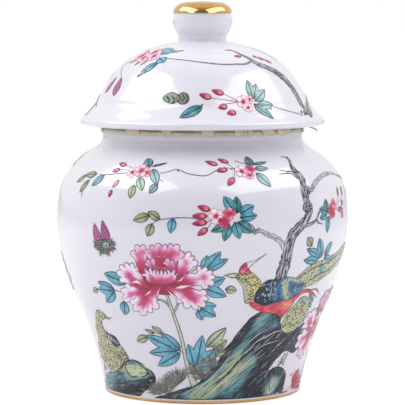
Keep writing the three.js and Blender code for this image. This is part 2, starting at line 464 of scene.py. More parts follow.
def wing_net_colour(tree):
    """An insect's wing: mauve pink with a fine dark lattice."""
    along, across = paper_uv(tree)
    slant = calc(tree, "MULTIPLY", calc(tree, "ADD", along, across), 0.5)
    other = calc(tree, "MULTIPLY", calc(tree, "SUBTRACT", along, across), 0.5)
    lines = calc(tree, "MAXIMUM", band(tree, calc(tree, "PINGPONG", slant, 0.5), 0.12, 0.24, 1.0, 0.0),
                 band(tree, calc(tree, "PINGPONG", other, 0.5), 0.12, 0.24, 1.0, 0.0))
    wash = colours(tree, attribute(tree, "tint"), (0.0, 214, 110, 164), (1.0, 158, 92, 138))
    edge = outline_mask(tree, 0.5, 1.0)
    return blend(tree, calc(tree, "MULTIPLY", calc(tree, "MAXIMUM", lines, edge), 0.8), wash, ink(78, 44, 84))


def cloth_finish():
    """Loosely woven tape: over and under threads, a little uneven, with painted shade where it rises under
    the lid's rim.
    """
    material = bpy.data.materials.new("woven_tape")
    material.use_nodes = True
    tree = material.node_tree
    shader = tree.nodes["Principled BSDF"]
    along, across = paper_uv(tree)
    warp = calc(tree, "SINE", calc(tree, "MULTIPLY", along, 2 * math.pi / WARP_STEP))
    weft = calc(tree, "SINE", calc(tree, "MULTIPLY", across, 2 * math.pi / WEFT_STEP))
    weave = calc(tree, "MULTIPLY_ADD", calc(tree, "MULTIPLY", warp, weft), 0.5, 0.5)
    slub = streaks(tree, 0.15, 1.4)
    tone = colours(tree, slub, (0.3, 216, 208, 168), (0.7, 246, 240, 212))
    # Painted shade: the cloth is darkened where it folds up under the lid's rim, standing in for the rim's
    # shadow.
    painted_rim_shade = calc(tree, "MULTIPLY", band(tree, across, 10.4, 12.6, 0.85, 0.0), band(tree, across, 8.8, 9.8))
    tone = blend(tree, painted_rim_shade, tone, ink(66, 56, 32))
    gaps = calc(tree, "MULTIPLY", calc(tree, "SUBTRACT", 1.0, weave), 0.36)
    feed(tree, shader.inputs["Base Color"], blend(tree, gaps, tone, ink(104, 94, 62)))
    relief = node(tree, "ShaderNodeBump", Strength=0.9, Distance=0.15 * MM, Height=weave)
    feed(tree, shader.inputs["Normal"], relief.outputs[0])
    shader.inputs["Roughness"].default_value = 0.9
    shader.inputs["Sheen Weight"].default_value = 0.3
    return material


GLAZE = finish("porcelain_glaze", glaze_colour, roughness=0.22, coat=1.0, shine=0.5, bump=0.08)
BISCUIT = finish("bare_biscuit", biscuit_colour, roughness=0.85, coat=0.0, bump=0.8)
GOLD = finish("burnished_gold", gold_colour, roughness=0.1, coat=0.0, shine=0.5, metallic=1.0, bump=0.3)
INKS = {
    "leaves": finish("leaf_enamel", leaf_colour),
    "peonies": finish("peony_enamel", peony_colour),
    "blossoms": finish("blossom_enamel", blossom_colour),
    "buds": finish("bud_enamel", bud_colour),
    "stems": finish("stem_enamel", stem_colour),
    "stalks": finish("stalk_enamel", stalk_colour),
    "bark": finish("bark_enamel", bark_colour),
    "rocks": finish("rock_enamel", rock_colour),
    "birds": finish("plumage_enamel", plumage_colour),
    "strokes": finish("stroke_enamel", stroke_colour),
    "wings": finish("wing_enamel", wing_net_colour),
}
TAPE = cloth_finish()


# ------------------------------------------------------------------ making meshes

def take(*objects):
    """Select only these, the first one active."""
    bpy.ops.object.select_all(action="DESELECT")
    for one in objects:
        one.select_set(True)
    bpy.context.view_layer.objects.active = objects[0]


def apply_modifier(piece, kind, **settings):
    take(piece)
    modifier = piece.modifiers.new("shape", kind)
    for name, value in settings.items():
        setattr(modifier, name, value)
    bpy.ops.object.modifier_apply(modifier=modifier.name)


def new_piece(name, mesh):
    piece = bpy.data.objects.new(name, mesh)
    bpy.context.scene.collection.objects.link(piece)
    return piece


def travel(points):
    """How far along a line each of its points is."""
    return np.concatenate([[0], np.cumsum(np.linalg.norm(np.diff(points, axis=0), axis=1))])


def curve_through(points, pieces, closed=False):
    """Points on a smooth curve through the given ones, so many to each stretch."""
    known = np.array(points, float)
    count = len(known)
    if closed:
        ends = np.vstack([known[-1], known, known[0], known[1]])
    else:
        ends = np.vstack([2 * known[0] - known[1], known, 2 * known[-1] - known[-2]])
    found = []
    for i in range(count if closed else count - 1):
        a, b, c, d = ends[i:i + 4]
        for t in np.arange(pieces) / pieces:
            found.append(0.5 * (2 * b + (c - a) * t + (2 * a - 5 * b + 4 * c - d) * t ** 2
                                + (3 * b - a - 3 * c + d) * t ** 3))
    if not closed:
        found.append(known[-1])
    return np.array(found)


def node_outline(name):
    """The outline that a turned node was made from, as (radius, height) points in order, in metres."""
    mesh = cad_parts[name].data
    place = {}
    for vertex in mesh.vertices:
        if abs(vertex.co.y) < 1e-6 and vertex.co.x > -1e-6:
            place[vertex.index] = (round(vertex.co.x, 7), round(vertex.co.z, 7))
    beside = {}
    for edge in mesh.edges:
        a, b = (place.get(v) for v in edge.vertices)
        if a and b and a != b:
            beside.setdefault(a, set()).add(b)
            beside.setdefault(b, set()).add(a)
    ends = sorted((p for p in beside if len(beside[p]) == 1), key=lambda p: p[1])
    walk = [ends[0] if ends else min(beside)]
    while True:
        onward = [p for p in beside[walk[-1]] if p not in walk[-2:]]
        if not onward or onward[0] == walk[0]:
            return walk
        walk.append(sorted(onward)[0])


def fair(outline, closed=False, corner=50):
    """The same outline with short steps: smooth curves, but corners are kept."""
    points = np.array(outline)
    count = len(points)
    found = []
    for i in range(count if closed else count - 1):
        b, c = points[i], points[(i + 1) % count]
        a = points[i - 1] if closed or i else 2 * b - c
        d = points[(i + 2) % count] if closed or i + 2 < count else 2 * c - b
        length = np.linalg.norm(c - b)
        into = tangent_at(a, b, c, corner, forward=True) * length
        out = tangent_at(b, c, d, corner, forward=False) * length
        for t in np.arange(max(1, math.ceil(length / FINE))) / max(1, math.ceil(length / FINE)):
            found.append((2 * t ** 3 - 3 * t ** 2 + 1) * b + (t ** 3 - 2 * t ** 2 + t) * into
                         + (3 * t ** 2 - 2 * t ** 3) * c + (t ** 3 - t ** 2) * out)
    if not closed:
        found.append(points[-1])
    return np.array(found)


def tangent_at(before, here, after, corner, forward):
    """The direction of the outline at a point: its own on each side of a corner, and the mean elsewhere."""
    back, ahead = here - before, after - here
    back_length, ahead_length = np.linalg.norm(back), np.linalg.norm(ahead)
    back, ahead = back / back_length, ahead / ahead_length
    if np.degrees(np.arccos(np.clip(back @ ahead, -1, 1))) > corner:
        return ahead if forward else back
    mean = back * ahead_length + ahead * back_length
    return mean / np.linalg.norm(mean)


def turned(name, outline, material, closed=False, steps=TURN_STEPS):
    """A solid turned about the jar's axis."""
    count = len(outline)
    mesh = bpy.data.meshes.new(name)
    edges = [(i, (i + 1) % count) for i in range(count if closed else count - 1)]
    mesh.from_pydata([(r, 0, z) for r, z in outline], edges, [])
    piece = new_piece(name, mesh)
    take(piece)
    bpy.ops.object.mode_set(mode="EDIT")
    bpy.ops.mesh.select_all(action="SELECT")
    bpy.ops.mesh.spin(steps=steps, angle=2 * math.pi, center=(0, 0, 0), axis=(0, 0, 1))
    bpy.ops.mesh.select_all(action="SELECT")
    bpy.ops.mesh.remove_doubles(threshold=2e-6)
    bpy.ops.mesh.normals_make_consistent(inside=False)
    bpy.ops.object.mode_set(mode="OBJECT")
    bpy.ops.object.shade_smooth_by_angle(angle=math.radians(38))
    piece.data.materials.append(material)
    return piece


def settle(piece, body, slot, *nodes):
    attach(piece, body)
    if nodes:
        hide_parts(*nodes)


# ------------------------------------------------------------------ porcelain and gold

def make_porcelain():
    """The jar, the dome, its collar and its knob, glazed, with a bare foot ring."""
    body = fair(node_outline("jar_body"))
    jar = turned("jar_porcelain", body, GLAZE)
    jar.data.materials.append(BISCUIT)
    for face in jar.data.polygons:
        if face.center.z < 0.5 * MM:
            face.material_index = 1
    settle(jar, "jar", "porcelain", "jar_body")
    dome_outline = fair(node_outline("lid_dome"))
    settle(turned("lid_porcelain", dome_outline, GLAZE), "lid", "porcelain", "lid_dome")
    collar = fair(node_outline("lid_collar"), closed=True)
    settle(turned("lid_locating_collar", collar, GLAZE, closed=True), "lid", "porcelain", "lid_collar")
    knob = fair(node_outline("lid_knob"))
    # The knob's foot is flared and let down into the dome, so that no gap shows.
    foot = np.clip(1 - (knob[:, 1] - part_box("lid_knob")[0].z) / (1.8 * MM), 0, 1) ** 2
    knob[:, 1] -= foot * 1.2 * MM
    knob[:, 0] += foot * np.where(knob[:, 0] > 9 * MM, 0.6 * MM, 0)
    settle(turned("lid_bun_knob", knob, GLAZE), "lid", "porcelain", "lid_knob")
    return body, dome_outline


def make_gilding():
    knob = fair(node_outline("knob_gilding"), corner=60)
    settle(turned("knob_gold", knob, GOLD), "lid", "gilding", "knob_gilding")
    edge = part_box("foot_gilding")[1].x - FOOT_GILT_GAP
    centre = edge - FOOT_EDGE
    angles = np.radians(np.linspace(-62, 2, 9))
    outer, inner = ([(centre + radius * math.cos(a), FOOT_EDGE + radius * math.sin(a)) for a in angles]
                    for radius in (FOOT_EDGE + 0.12 * MM, FOOT_EDGE + 0.03 * MM))
    settle(turned("foot_gold", outer + inner[::-1], GOLD, closed=True), "jar", "gilding", "foot_gilding")


# ------------------------------------------------------------------ the cloth round the neck

TAPE_STEPS = 720
TAPE_TOP = 143.5  # mm, just under the lid's rim
FOLD_RADIUS = 54  # mm, where the folds hang
TAPE_RUN = [(49.4, 132.9), (49.3, 135), (49.4, 137.5), (49.3, 140), (49.3, 141.8), (49.5, 142.9),
    (50.0, 143.2), (50.7, 142.7), (51.8, 142.1), (53.0, 141.9), (53.8, 141.7), (54.2, 141.1), (54.3, 140.4)]
# Where the tape is folded over itself: degrees, half the width in degrees, and mm of lift.
RUCKS = [(-60, 6, 0.4), (-42, 7, 0.8), (-20, 5, 0.7), (2, 6, 0.7), (20, 4, 0.7), (27, 4, 0.8), (39, 7, 0.9),
    (50, 6, 0.8), (78, 6, 0.8), (112, 8, 0.6), (140, 6, 0.8), (168, 5, 0.6), (196, 8, 0.8), (226, 6, 0.7),
    (252, 7, 0.8), (280, 5, 0.6)]
# Folds that hang over its edge: degrees, width above and below in mm, and lean in mm.
FLAPS = [(-42, 10, 9, 0), (-20, 10, 2, 0), (2, 8, 6, 1), (20, 5, 4, 0), (24, 2, 2, 0), (27, 2, 2, 0),
    (39, 11, 7, 0), (48, 4, 7, 1), (55, 6, 3, -1), (78, 8, 5, 1), (113, 7, 6, 0), (140, 9, 3, 1),
    (168, 6, 5, 0), (197, 9, 8, -1), (226, 6, 3, 0), (253, 10, 7, 1), (281, 5, 5, 0)]
FLAP_RUN = [(50.8, 143.3), (52.0, 143.45), (53.3, 143.4), (54.2, 143.1), (54.8, 142.4), (54.9, 141.4),
    (54.7, 140.5), (54.6, 140.0)]


def woven(name, grids, thickness=0.5):
    """One piece of cloth from grids of (points in mm, paper numbers, whether it closes on itself)."""
    points, faces, numbers = [], [], []
    for grid, paper, closed in grids:
        rows, columns = grid.shape[:2]
        first = sum(len(part) for part in points)
        points.append(grid.reshape(-1, 3) * MM)
        for i in range(rows - 1):
            for j in range(columns if closed else columns - 1):
                corners = ((i, j), (i, j + 1), (i + 1, j + 1), (i + 1, j))
                faces.append([first + row * columns + column % columns for row, column in corners])
                numbers += [tuple(paper[row, column]) for row, column in corners]
    mesh = bpy.data.meshes.new(name)
    mesh.from_pydata(np.concatenate(points).tolist(), [], faces)
    mesh.uv_layers.new(name="paper").data.foreach_set("uv", np.array(numbers).ravel())
    piece = new_piece(name, mesh)
    mesh.materials.append(TAPE)
    apply_modifier(piece, "SOLIDIFY", thickness=thickness * MM, offset=0)
    piece.data.shade_smooth()
    return piece


def round_axis(radius, degrees, height):
    """Points at a radius and so many degrees from the front."""
    turn = np.radians(degrees)
    return np.stack([radius * np.sin(turn), -radius * np.cos(turn), height + 0 * turn], -1)


def make_tape():
    """The tape that packs the lid into the neck: up inside the lip, over it and a little way down."""
    run = curve_through(TAPE_RUN, 2)
    travelled = travel(run)
    degrees = np.arange(TAPE_STEPS) * 360 / TAPE_STEPS
    turn = np.radians(degrees)
    ruck = sum(lift * np.exp(-(((degrees - at + 180) % 360 - 180) / half) ** 4) for at, half, lift in RUCKS)
    top = np.exp(-((travelled - 12.5) / 2.2) ** 2)[:, None]
    hem = np.clip((travelled - 13.5) / 2.5, 0, 1)[:, None]
    crease = 0.10 * np.sin(41 * turn + 2 * np.sin(7 * turn)) + 0.06 * np.sin(97 * turn + 3 * np.sin(5 * turn))
    radius = run[:, :1] + crease + 0.12 * hem * ruck
    ripple = 0.2 * np.sin(13 * turn) * np.sin(5 * turn)
    height = run[:, 1:] + top * (ruck * 0.9 + 0.8 * crease) - hem * (0.25 * ruck + ripple)
    grid = round_axis(radius, degrees[None, :] + 0 * radius, np.minimum(height, TAPE_TOP))
    paper = np.stack(np.broadcast_arrays(np.arange(TAPE_STEPS + 1)[None, :] * 0.456, travelled[:, None]), -1)
    tape = woven("woven_tape", [(grid, paper, True)])
    settle(tape, "strip", "cloth", "cloth_strip")

    grids = []
    run = curve_through(FLAP_RUN, 2)
    travelled = travel(run)
    share = (travelled / travelled[-1])[:, None]
    across = np.linspace(-0.5, 0.5, 13)
    for i, (at, above, below, lean) in enumerate(FLAPS):
        width = above + (below - above) * share
        aside = across * width + lean * share + 0.2 * np.sin(9 * share + i)
        pucker = 0.14 * np.cos(across * 19 + i) + 0.1 * np.sin(across * 37 + 2 * i)
        drop = 0.35 * (2 * np.abs(across)) ** 3 * (1 - share) + 0.5 * abs(lean) * share * across
        grid = round_axis(run[:, :1] + pucker * share, at + np.degrees(aside / FOLD_RADIUS),
            run[:, 1:] - drop)
        paper = np.stack([aside + 7 * i, travelled[:, None] + 14 + 0 * aside], -1)
        grids.append((grid, paper, False))
    flaps = woven("tape_folds", grids, 0.4)
    settle(flaps, "strip", "cloth")

    low, high = (np.array(corner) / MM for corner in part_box("cloth_end"))
    out = np.linspace(0, 1, 15)[:, None]
    across = np.linspace(-0.5, 0.5, 11)
    x = 53.4 + (high[0] - 0.9 - 53.4) * out + 0.35 * np.sin(across * 11) * out
    z = 142.9 - 1.7 * out ** 1.6 + 0.3 * np.sin(across * 9 + 3 * out) * out
    grid = np.stack(np.broadcast_arrays(x, (high[1] - low[1] - 0.4) * across * (1 - 0.12 * out), z), -1)
    paper = np.stack(np.broadcast_arrays(across * 5.4, 14 + 8 * out), -1)
    end = woven("tape_cut_end", [(grid, paper, False)])
    settle(end, "strip", "cloth", "cloth_end")

    draw = random.Random(8)
    curve = bpy.data.curves.new("tape_frayed_threads", "CURVE")
    curve.dimensions = "3D"
    curve.bevel_depth = 0.1 * MM
    curve.bevel_resolution = 1
    curve.use_fill_caps = True
    for i in range(22):
        y = (i / 21 - 0.5) * 4.4
        long = draw.uniform(0.8, 1.9)
        start = np.array([high[0] - 1.3, y, 141.2])
        stop = np.array([min(high[0] - 0.9 + long, high[0] + 0.6), y * 1.1 + draw.uniform(-0.6, 0.6),
                         141.0 - draw.uniform(0.0, 1.2)])
        spline = curve.splines.new("POLY")
        spline.points.add(3)
        for k in range(4):
            place = start + (stop - start) * k / 3 + np.array([0, 0, 0.25 * math.sin(math.pi * k / 3)])
            spline.points[k].co = (*(place * MM), 1)
    take(new_piece("tape_frayed_threads", curve))
    bpy.ops.object.convert(target="MESH")
    threads = bpy.context.object
    threads.data.materials.clear()
    threads.data.materials.append(TAPE)
    settle(threads, "strip", "cloth")


# ------------------------------------------------------------------ painting on the glaze

class Wall:
    """The outside of a turned wall, ready to be painted: paper in millimetres is laid on it."""

    def __init__(self, outline, body):
        points = np.array(outline) / MM
        self.body = body
        self.along = travel(points)
        self.radius, self.height = points.T
        slope = np.gradient(points, self.along, axis=0)
        slope /= np.linalg.norm(slope, axis=1)[:, None]
        self.out_radius, self.out_height = slope[:, 1], -slope[:, 0]
        self.piles = {}

    def reach(self, height):
        return np.interp(height, self.height, self.along)

    def on_paper(self, places, anchor):
        """(degrees, height) places as x and y on paper that is pinned at the anchor."""
        degrees, height = np.array(places, float).T
        radius = np.interp(height, self.height, self.radius)
        return np.stack([np.radians(degrees - anchor[0]) * radius,
            self.reach(height) - self.reach(anchor[1])], 1)

    def wrap(self, flat, lift, anchor):
        """Paper points, lifted by so many mm, as places in metres."""
        along = np.clip(self.reach(anchor[1]) + flat[:, 1], self.along[0], self.along[-1])
        radius = np.interp(along, self.along, self.radius)
        out = np.interp(along, self.along, self.out_radius), np.interp(along, self.along, self.out_height)
        turn = np.radians(anchor[0]) + flat[:, 0] / radius
        reach = radius + lift * out[0]
        height = np.interp(along, self.along, self.height) + lift * out[1]
        return np.stack([reach * np.sin(turn), -reach * np.cos(turn), height], 1) * MM


class Cut:
    """A flat cut of enamel: its points on paper in mm, their distance from its edge, two numbers for its
    pattern, and its faces."""

    def __init__(self, piece, flat, rim, pattern):
        mesh = piece.data
        self.flat, self.rim, self.pattern = flat, rim, pattern
        self.corners = np.empty(len(mesh.loops), int)
        mesh.loops.foreach_get("vertex_index", self.corners)
        self.starts = np.empty(len(mesh.polygons), int)
        mesh.polygons.foreach_get("loop_start", self.starts)
        bpy.data.objects.remove(piece)
        bpy.data.meshes.remove(mesh)


def paper_points(piece):
    found = np.empty(len(piece.data.vertices) * 3)
    piece.data.vertices.foreach_get("co", found)
    return found.reshape(-1, 3)


def line_distance(points, line):
    """How far each point is from a line, in mm."""
    best = np.full(len(points), np.inf)
    for a, b in zip(line[:-1], line[1:]):
        span = b - a
        share = np.clip(((points - a) @ span) / max(span @ span, 1e-12), 0, 1)
        best = np.minimum(best, np.linalg.norm(points - a - share[:, None] * span, axis=1))
    return best


def patch(outline, cell=1.0, uv=None):
    """A flat patch of enamel, cut into small squares so that it can bend, in mm on paper."""
    outline = np.array(outline, float)
    following = np.roll(outline, -1, axis=0)
    if (outline[:, 0] * following[:, 1] - outline[:, 1] * following[:, 0]).sum() < 0:
        outline = outline[::-1]
    bpy.ops.mesh.primitive_circle_add(vertices=len(outline), fill_type="NGON")
    piece = bpy.context.object
    flat = np.column_stack([outline, np.zeros(len(outline))])
    piece.data.vertices.foreach_set("co", flat.ravel())
    bpy.ops.object.mode_set(mode="EDIT")
    for axis, normal in ((0, (1, 0, 0)), (1, (0, 1, 0))):
        low, high = outline[:, axis].min(), outline[:, axis].max()
        for place in np.arange(math.ceil(low / cell + 0.1), high / cell - 0.1) * cell:
            bpy.ops.mesh.select_all(action="SELECT")
            bpy.ops.mesh.bisect(plane_co=(place, place, 0), plane_no=normal)
    bpy.ops.object.mode_set(mode="OBJECT")
    flat = paper_points(piece)[:, :2]
    return Cut(piece, flat, line_distance(flat, np.vstack([outline, outline[:1]])),
        flat if uv is None else uv(flat))


def ribbon(line, widths, cell=1.2, ragged=0.0, seed=1):
    """A brush stroke along a line on paper, with its width at each given point of the line."""
    known = np.array(line, float)
    pieces = max(2, math.ceil(np.linalg.norm(np.diff(known, axis=0), axis=1).mean() / cell))
    middle = curve_through(known, pieces)
    width = np.interp(np.linspace(0, 1, len(middle)), np.linspace(0, 1, len(widths)), widths)
    draw = random.Random(seed)
    slope = np.gradient(middle, axis=0)
    side = np.stack([-slope[:, 1], slope[:, 0]], 1) / np.linalg.norm(slope, axis=1)[:, None]
    columns = 3 if max(widths) < 2 else 7
    bpy.ops.mesh.primitive_grid_add(x_subdivisions=len(middle) - 1, y_subdivisions=columns - 1)
    piece = bpy.context.object
    unit = paper_points(piece)
    row = np.rint((unit[:, 0] + 1) / 2 * (len(middle) - 1)).astype(int)
    lane = unit[:, 1]
    rough = np.array([[1 + ragged * (draw.random() - 0.5) for _ in range(2)] for _ in middle])
    half = width[row] / 2 * np.where(lane > 0, rough[row, 0], rough[row, 1])
    flat = middle[row] + side[row] * (lane * half)[:, None]
    return Cut(piece, flat, half * (1 - np.abs(lane)), np.stack([travel(middle)[row], lane * half], 1))


def lay(wall, pile, made, anchor, layer, heading=90.0, size=(1.0, 1.0), bend=0.0, tint=0.0):
    """Lay a cut of enamel on the wall. heading is where its +Y goes: 0 is right and 90 is up."""
    flat = made.flat * np.array(size)
    flat[:, 0] += bend * flat[:, 1] ** 2
    turn = math.radians(heading - 90)
    flat = flat @ np.array([[math.cos(turn), math.sin(turn)], [-math.sin(turn), math.cos(turn)]])
    rim = made.rim * min(size)
    swell = np.clip(rim / REACH, 0, 1)
    lift = GLAZE_GAP + LAYER * layer + DOME * swell * (2 - swell)
    wall.piles.setdefault(pile, []).append((wall.wrap(flat, lift, anchor), rim, tint + 0 * rim, made))


# ---- stamps: shapes that are drawn once and laid many times

def mirrored(half, up):
    """An outline up from the origin by its half widths and heights, the same on both sides."""
    return np.vstack([np.stack([half, up], 1), np.stack([-half, up], 1)[::-1][1:-1]])


def leaf_stamp(length, width, point):
    """A pointed oval from its base at the origin up to its tip."""
    def uv(flat):
        return np.stack([flat[:, 1] / length, flat[:, 0] / (width / 2)], 1)

    t = np.linspace(0, 1, 11)
    return patch(mirrored(width / 2 * np.sin(math.pi * t ** point) ** 0.8, t * length), 1.0, uv)


def round_petal_stamp():
    """A small round petal with a notch at its end, 3 mm long."""
    t = np.linspace(0, 2 * math.pi, 18, endpoint=False)
    x = 1.45 * np.sin(t)
    y = 1.5 - 1.5 * np.cos(t) - 0.35 * np.exp(-((t - math.pi) / 0.35) ** 2)
    return patch(np.stack([x, y], 1), 0.8, lambda flat: np.stack([flat[:, 1] / 3, flat[:, 0] / 1.5], 1))


def bud_stamp():
    """A teardrop bud 4.6 mm long, its pointed tip up."""
    t = np.linspace(0, 1, 10)
    half = 1.6 * np.sin(math.pi * t ** 0.85) ** 0.7 * (1 - 0.15 * t)
    return patch(mirrored(half, 4.6 * t), 0.9, lambda flat: np.stack([flat[:, 1] / 4.6, flat[:, 0] / 1.5], 1))


def dash_stamp():
    """A hair: a single touch of the brush, 1 mm by 1 mm, to be stretched."""
    t = np.linspace(0, 1, 7)
    half = 0.5 * np.sin(math.pi * t ** 0.6) ** 0.7
    return patch(mirrored(half, t), 0.34, lambda flat: np.stack([flat[:, 1] * 4, flat[:, 0]], 1))


STAMPS = {
    "leaf": leaf_stamp(10, 5.4, 0.85),
    "broad_leaf": leaf_stamp(8, 6.0, 0.95),
    "thin_leaf": leaf_stamp(10, 3.0, 0.8),
    "petal": round_petal_stamp(),
    "bud": bud_stamp(),
    "dash": dash_stamp(),
}


def span(wall, base, tip):
    """From one (degrees, height) place to another on paper: heading and length."""
    (x, y), = wall.on_paper([tip], base)
    return math.degrees(math.atan2(y, x)), math.hypot(x, y)


def each(draw, wall, *rows):
    """Draw one thing after another, each from a row of its numbers."""
    for row in rows:
        draw(wall, *row)


def leaf(wall, degrees, height, tip_degrees, tip_height, width, tint=0.0, layer=6):
    """One leaf from its base to its tip."""
    heading, length = span(wall, (degrees, height), (tip_degrees, tip_height))
    share = width / length
    kind, drawn = ("thin_leaf", (10, 3.0)) if share < 0.42 else ("leaf", (10, 5.4))
    if share > 0.62:
        kind, drawn = "broad_leaf", (8, 6.0)
    size = width / drawn[1], length / drawn[0]
    lay(wall, "leaves", STAMPS[kind], (degrees, height), layer, heading, size, 0, tint)


def bud(wall, degrees, height, tip_degrees, tip_height, width=3.1, tint=0.0, layer=7):
    heading, length = span(wall, (degrees, height), (tip_degrees, tip_height))
    lay(wall, "buds", STAMPS["bud"], (degrees, height), layer, heading, (width / 3.1, length / 4.6), 0, tint)


def dash(wall, degrees, height, heading, length, width=0.4, tint=0.0, layer=8, bend=0.0, pile="stems"):
    lay(wall, pile, STAMPS["dash"], (degrees, height), layer, heading, (width, length), bend, tint)


def line(wall, places, width=0.5, tint=0.0, layer=5, pile="stems", ragged=0.0, end=None, seed=1):
    """A line drawn through (degrees, height) places. width is one number or one to each place."""
    anchor = tuple(np.mean(np.array(places, float), axis=0))
    widths = list(width) if hasattr(width, "__len__") else [width * 0.8, width, width if end is None else end]
    drawn = ribbon(wall.on_paper(places, anchor), widths, ragged=ragged, seed=seed)
    lay(wall, pile, drawn, anchor, layer, tint=tint)


def shape(wall, pile, places, tint=0.0, layer=3, cell=1.5, slope=0.0, smooth=4, washes=()):
    """A filled shape whose outline goes through (degrees, height) places. slope turns its brush marks. Each
    wash is (a line of places, its reach in mm, its tint), and it fades into the shape's own tint."""
    anchor = tuple(np.mean(np.array(places, float), axis=0))
    outline = curve_through(wall.on_paper(places, anchor), smooth, closed=True)
    turn = math.radians(slope)

    def uv(flat):
        along = flat[:, 0] * math.cos(turn) + flat[:, 1] * math.sin(turn)
        return np.stack([along + anchor[0], flat[:, 1] * math.cos(turn) - flat[:, 0] * math.sin(turn)], 1)

    made = patch(outline, cell, uv)
    tints = np.full(len(made.flat), float(tint))
    for way, reach, value in washes:
        path = wall.on_paper(way, anchor)
        share = np.exp(-(line_distance(made.flat, path) / reach) ** 2)
        tints += share * (value - tints)
    lay(wall, pile, made, anchor, layer, tint=tints)


def beside(wall, degrees, height, right, up):
    """The place so many mm to the right of another and above it."""
    return degrees + math.degrees(right / np.interp(height, wall.height, wall.radius)), height + up


def blossom(wall, degrees, height, radius, tint=0.0, turn=0.0, layer=7, petals=5):
    """A small open blossom with a crimson heart and a ring of stamens."""
    scale = radius / 3.6
    for i in range(petals):
        heading = turn + 360 / petals * i
        way = math.radians(heading)
        place = beside(wall, degrees, height, 0.55 * scale * math.cos(way), 0.55 * scale * math.sin(way))
        lay(wall, "blossoms", STAMPS["petal"], place, layer + 0.5 * (i % 2), heading, (scale, scale), 0,
            tint + 0.12 * math.sin(2.3 * i + turn))
    lay(wall, "buds", STAMPS["dash"], beside(wall, degrees, height, 0, -0.9 * scale), layer + 2, 90,
        (1.9 * scale, 1.9 * scale))
    for i in range(8):
        dash(wall, degrees, height, turn + 20 + 45 * i, 1.9 * scale, 0.3, 0.3, layer + 3, 0.0, "strokes")


# ---- motifs

def stroke(wall, pile, anchor, places, widths, tint=0.0, layer=8):
    """A brush stroke through paper places, in mm from the anchor."""
    lay(wall, pile, ribbon(places, widths, 0.9), anchor, layer, tint=tint)


def scallops(notches, away, height):
    """Round lobes between one notch and the next, which swell away from a place."""
    found = []
    for first, last in zip(notches[:-1], notches[1:]):
        first, last = np.array(first, float), np.array(last, float)
        chord = last - first
        out = np.array([chord[1], -chord[0]])
        out *= np.sign(out @ ((first + last) / 2 - away)) * height
        for angle in np.linspace(0, math.pi, 7)[:-1]:
            found.append((first + last) / 2 - chord / 2 * math.cos(angle) + out * math.sin(angle))
    found.append(np.array(notches[-1], float))
    return found


def petal(wall, anchor, notches, sides, layer, tint=0.0, creases=3.2, lobe=0.6):
    """A peony petal: lobes between the notches, then smooth sides round by its base."""
    middle = np.array(sides, float).mean(0)
    edge = scallops(notches, middle, lobe)
    back = curve_through([notches[-1], *sides, notches[0]], 5)[1:-1]
    outline = np.array([*edge, *back])

    def uv(flat):
        away = flat - middle
        return np.stack([line_distance(flat, edge), np.arctan2(away[:, 1], away[:, 0])], 1)

    lay(wall, "peonies", patch(outline, 1.0, uv), anchor, layer, tint=tint)
    for notch in notches[1:-1]:
        inner = np.array(notch) + (middle - notch) / np.linalg.norm(middle - notch) * creases
        crease = [notch, (np.array(notch) + inner) / 2, inner]
        stroke(wall, "stems", anchor, crease, (0.55, 0.45, 0.1), 0.35, layer + 0.5)


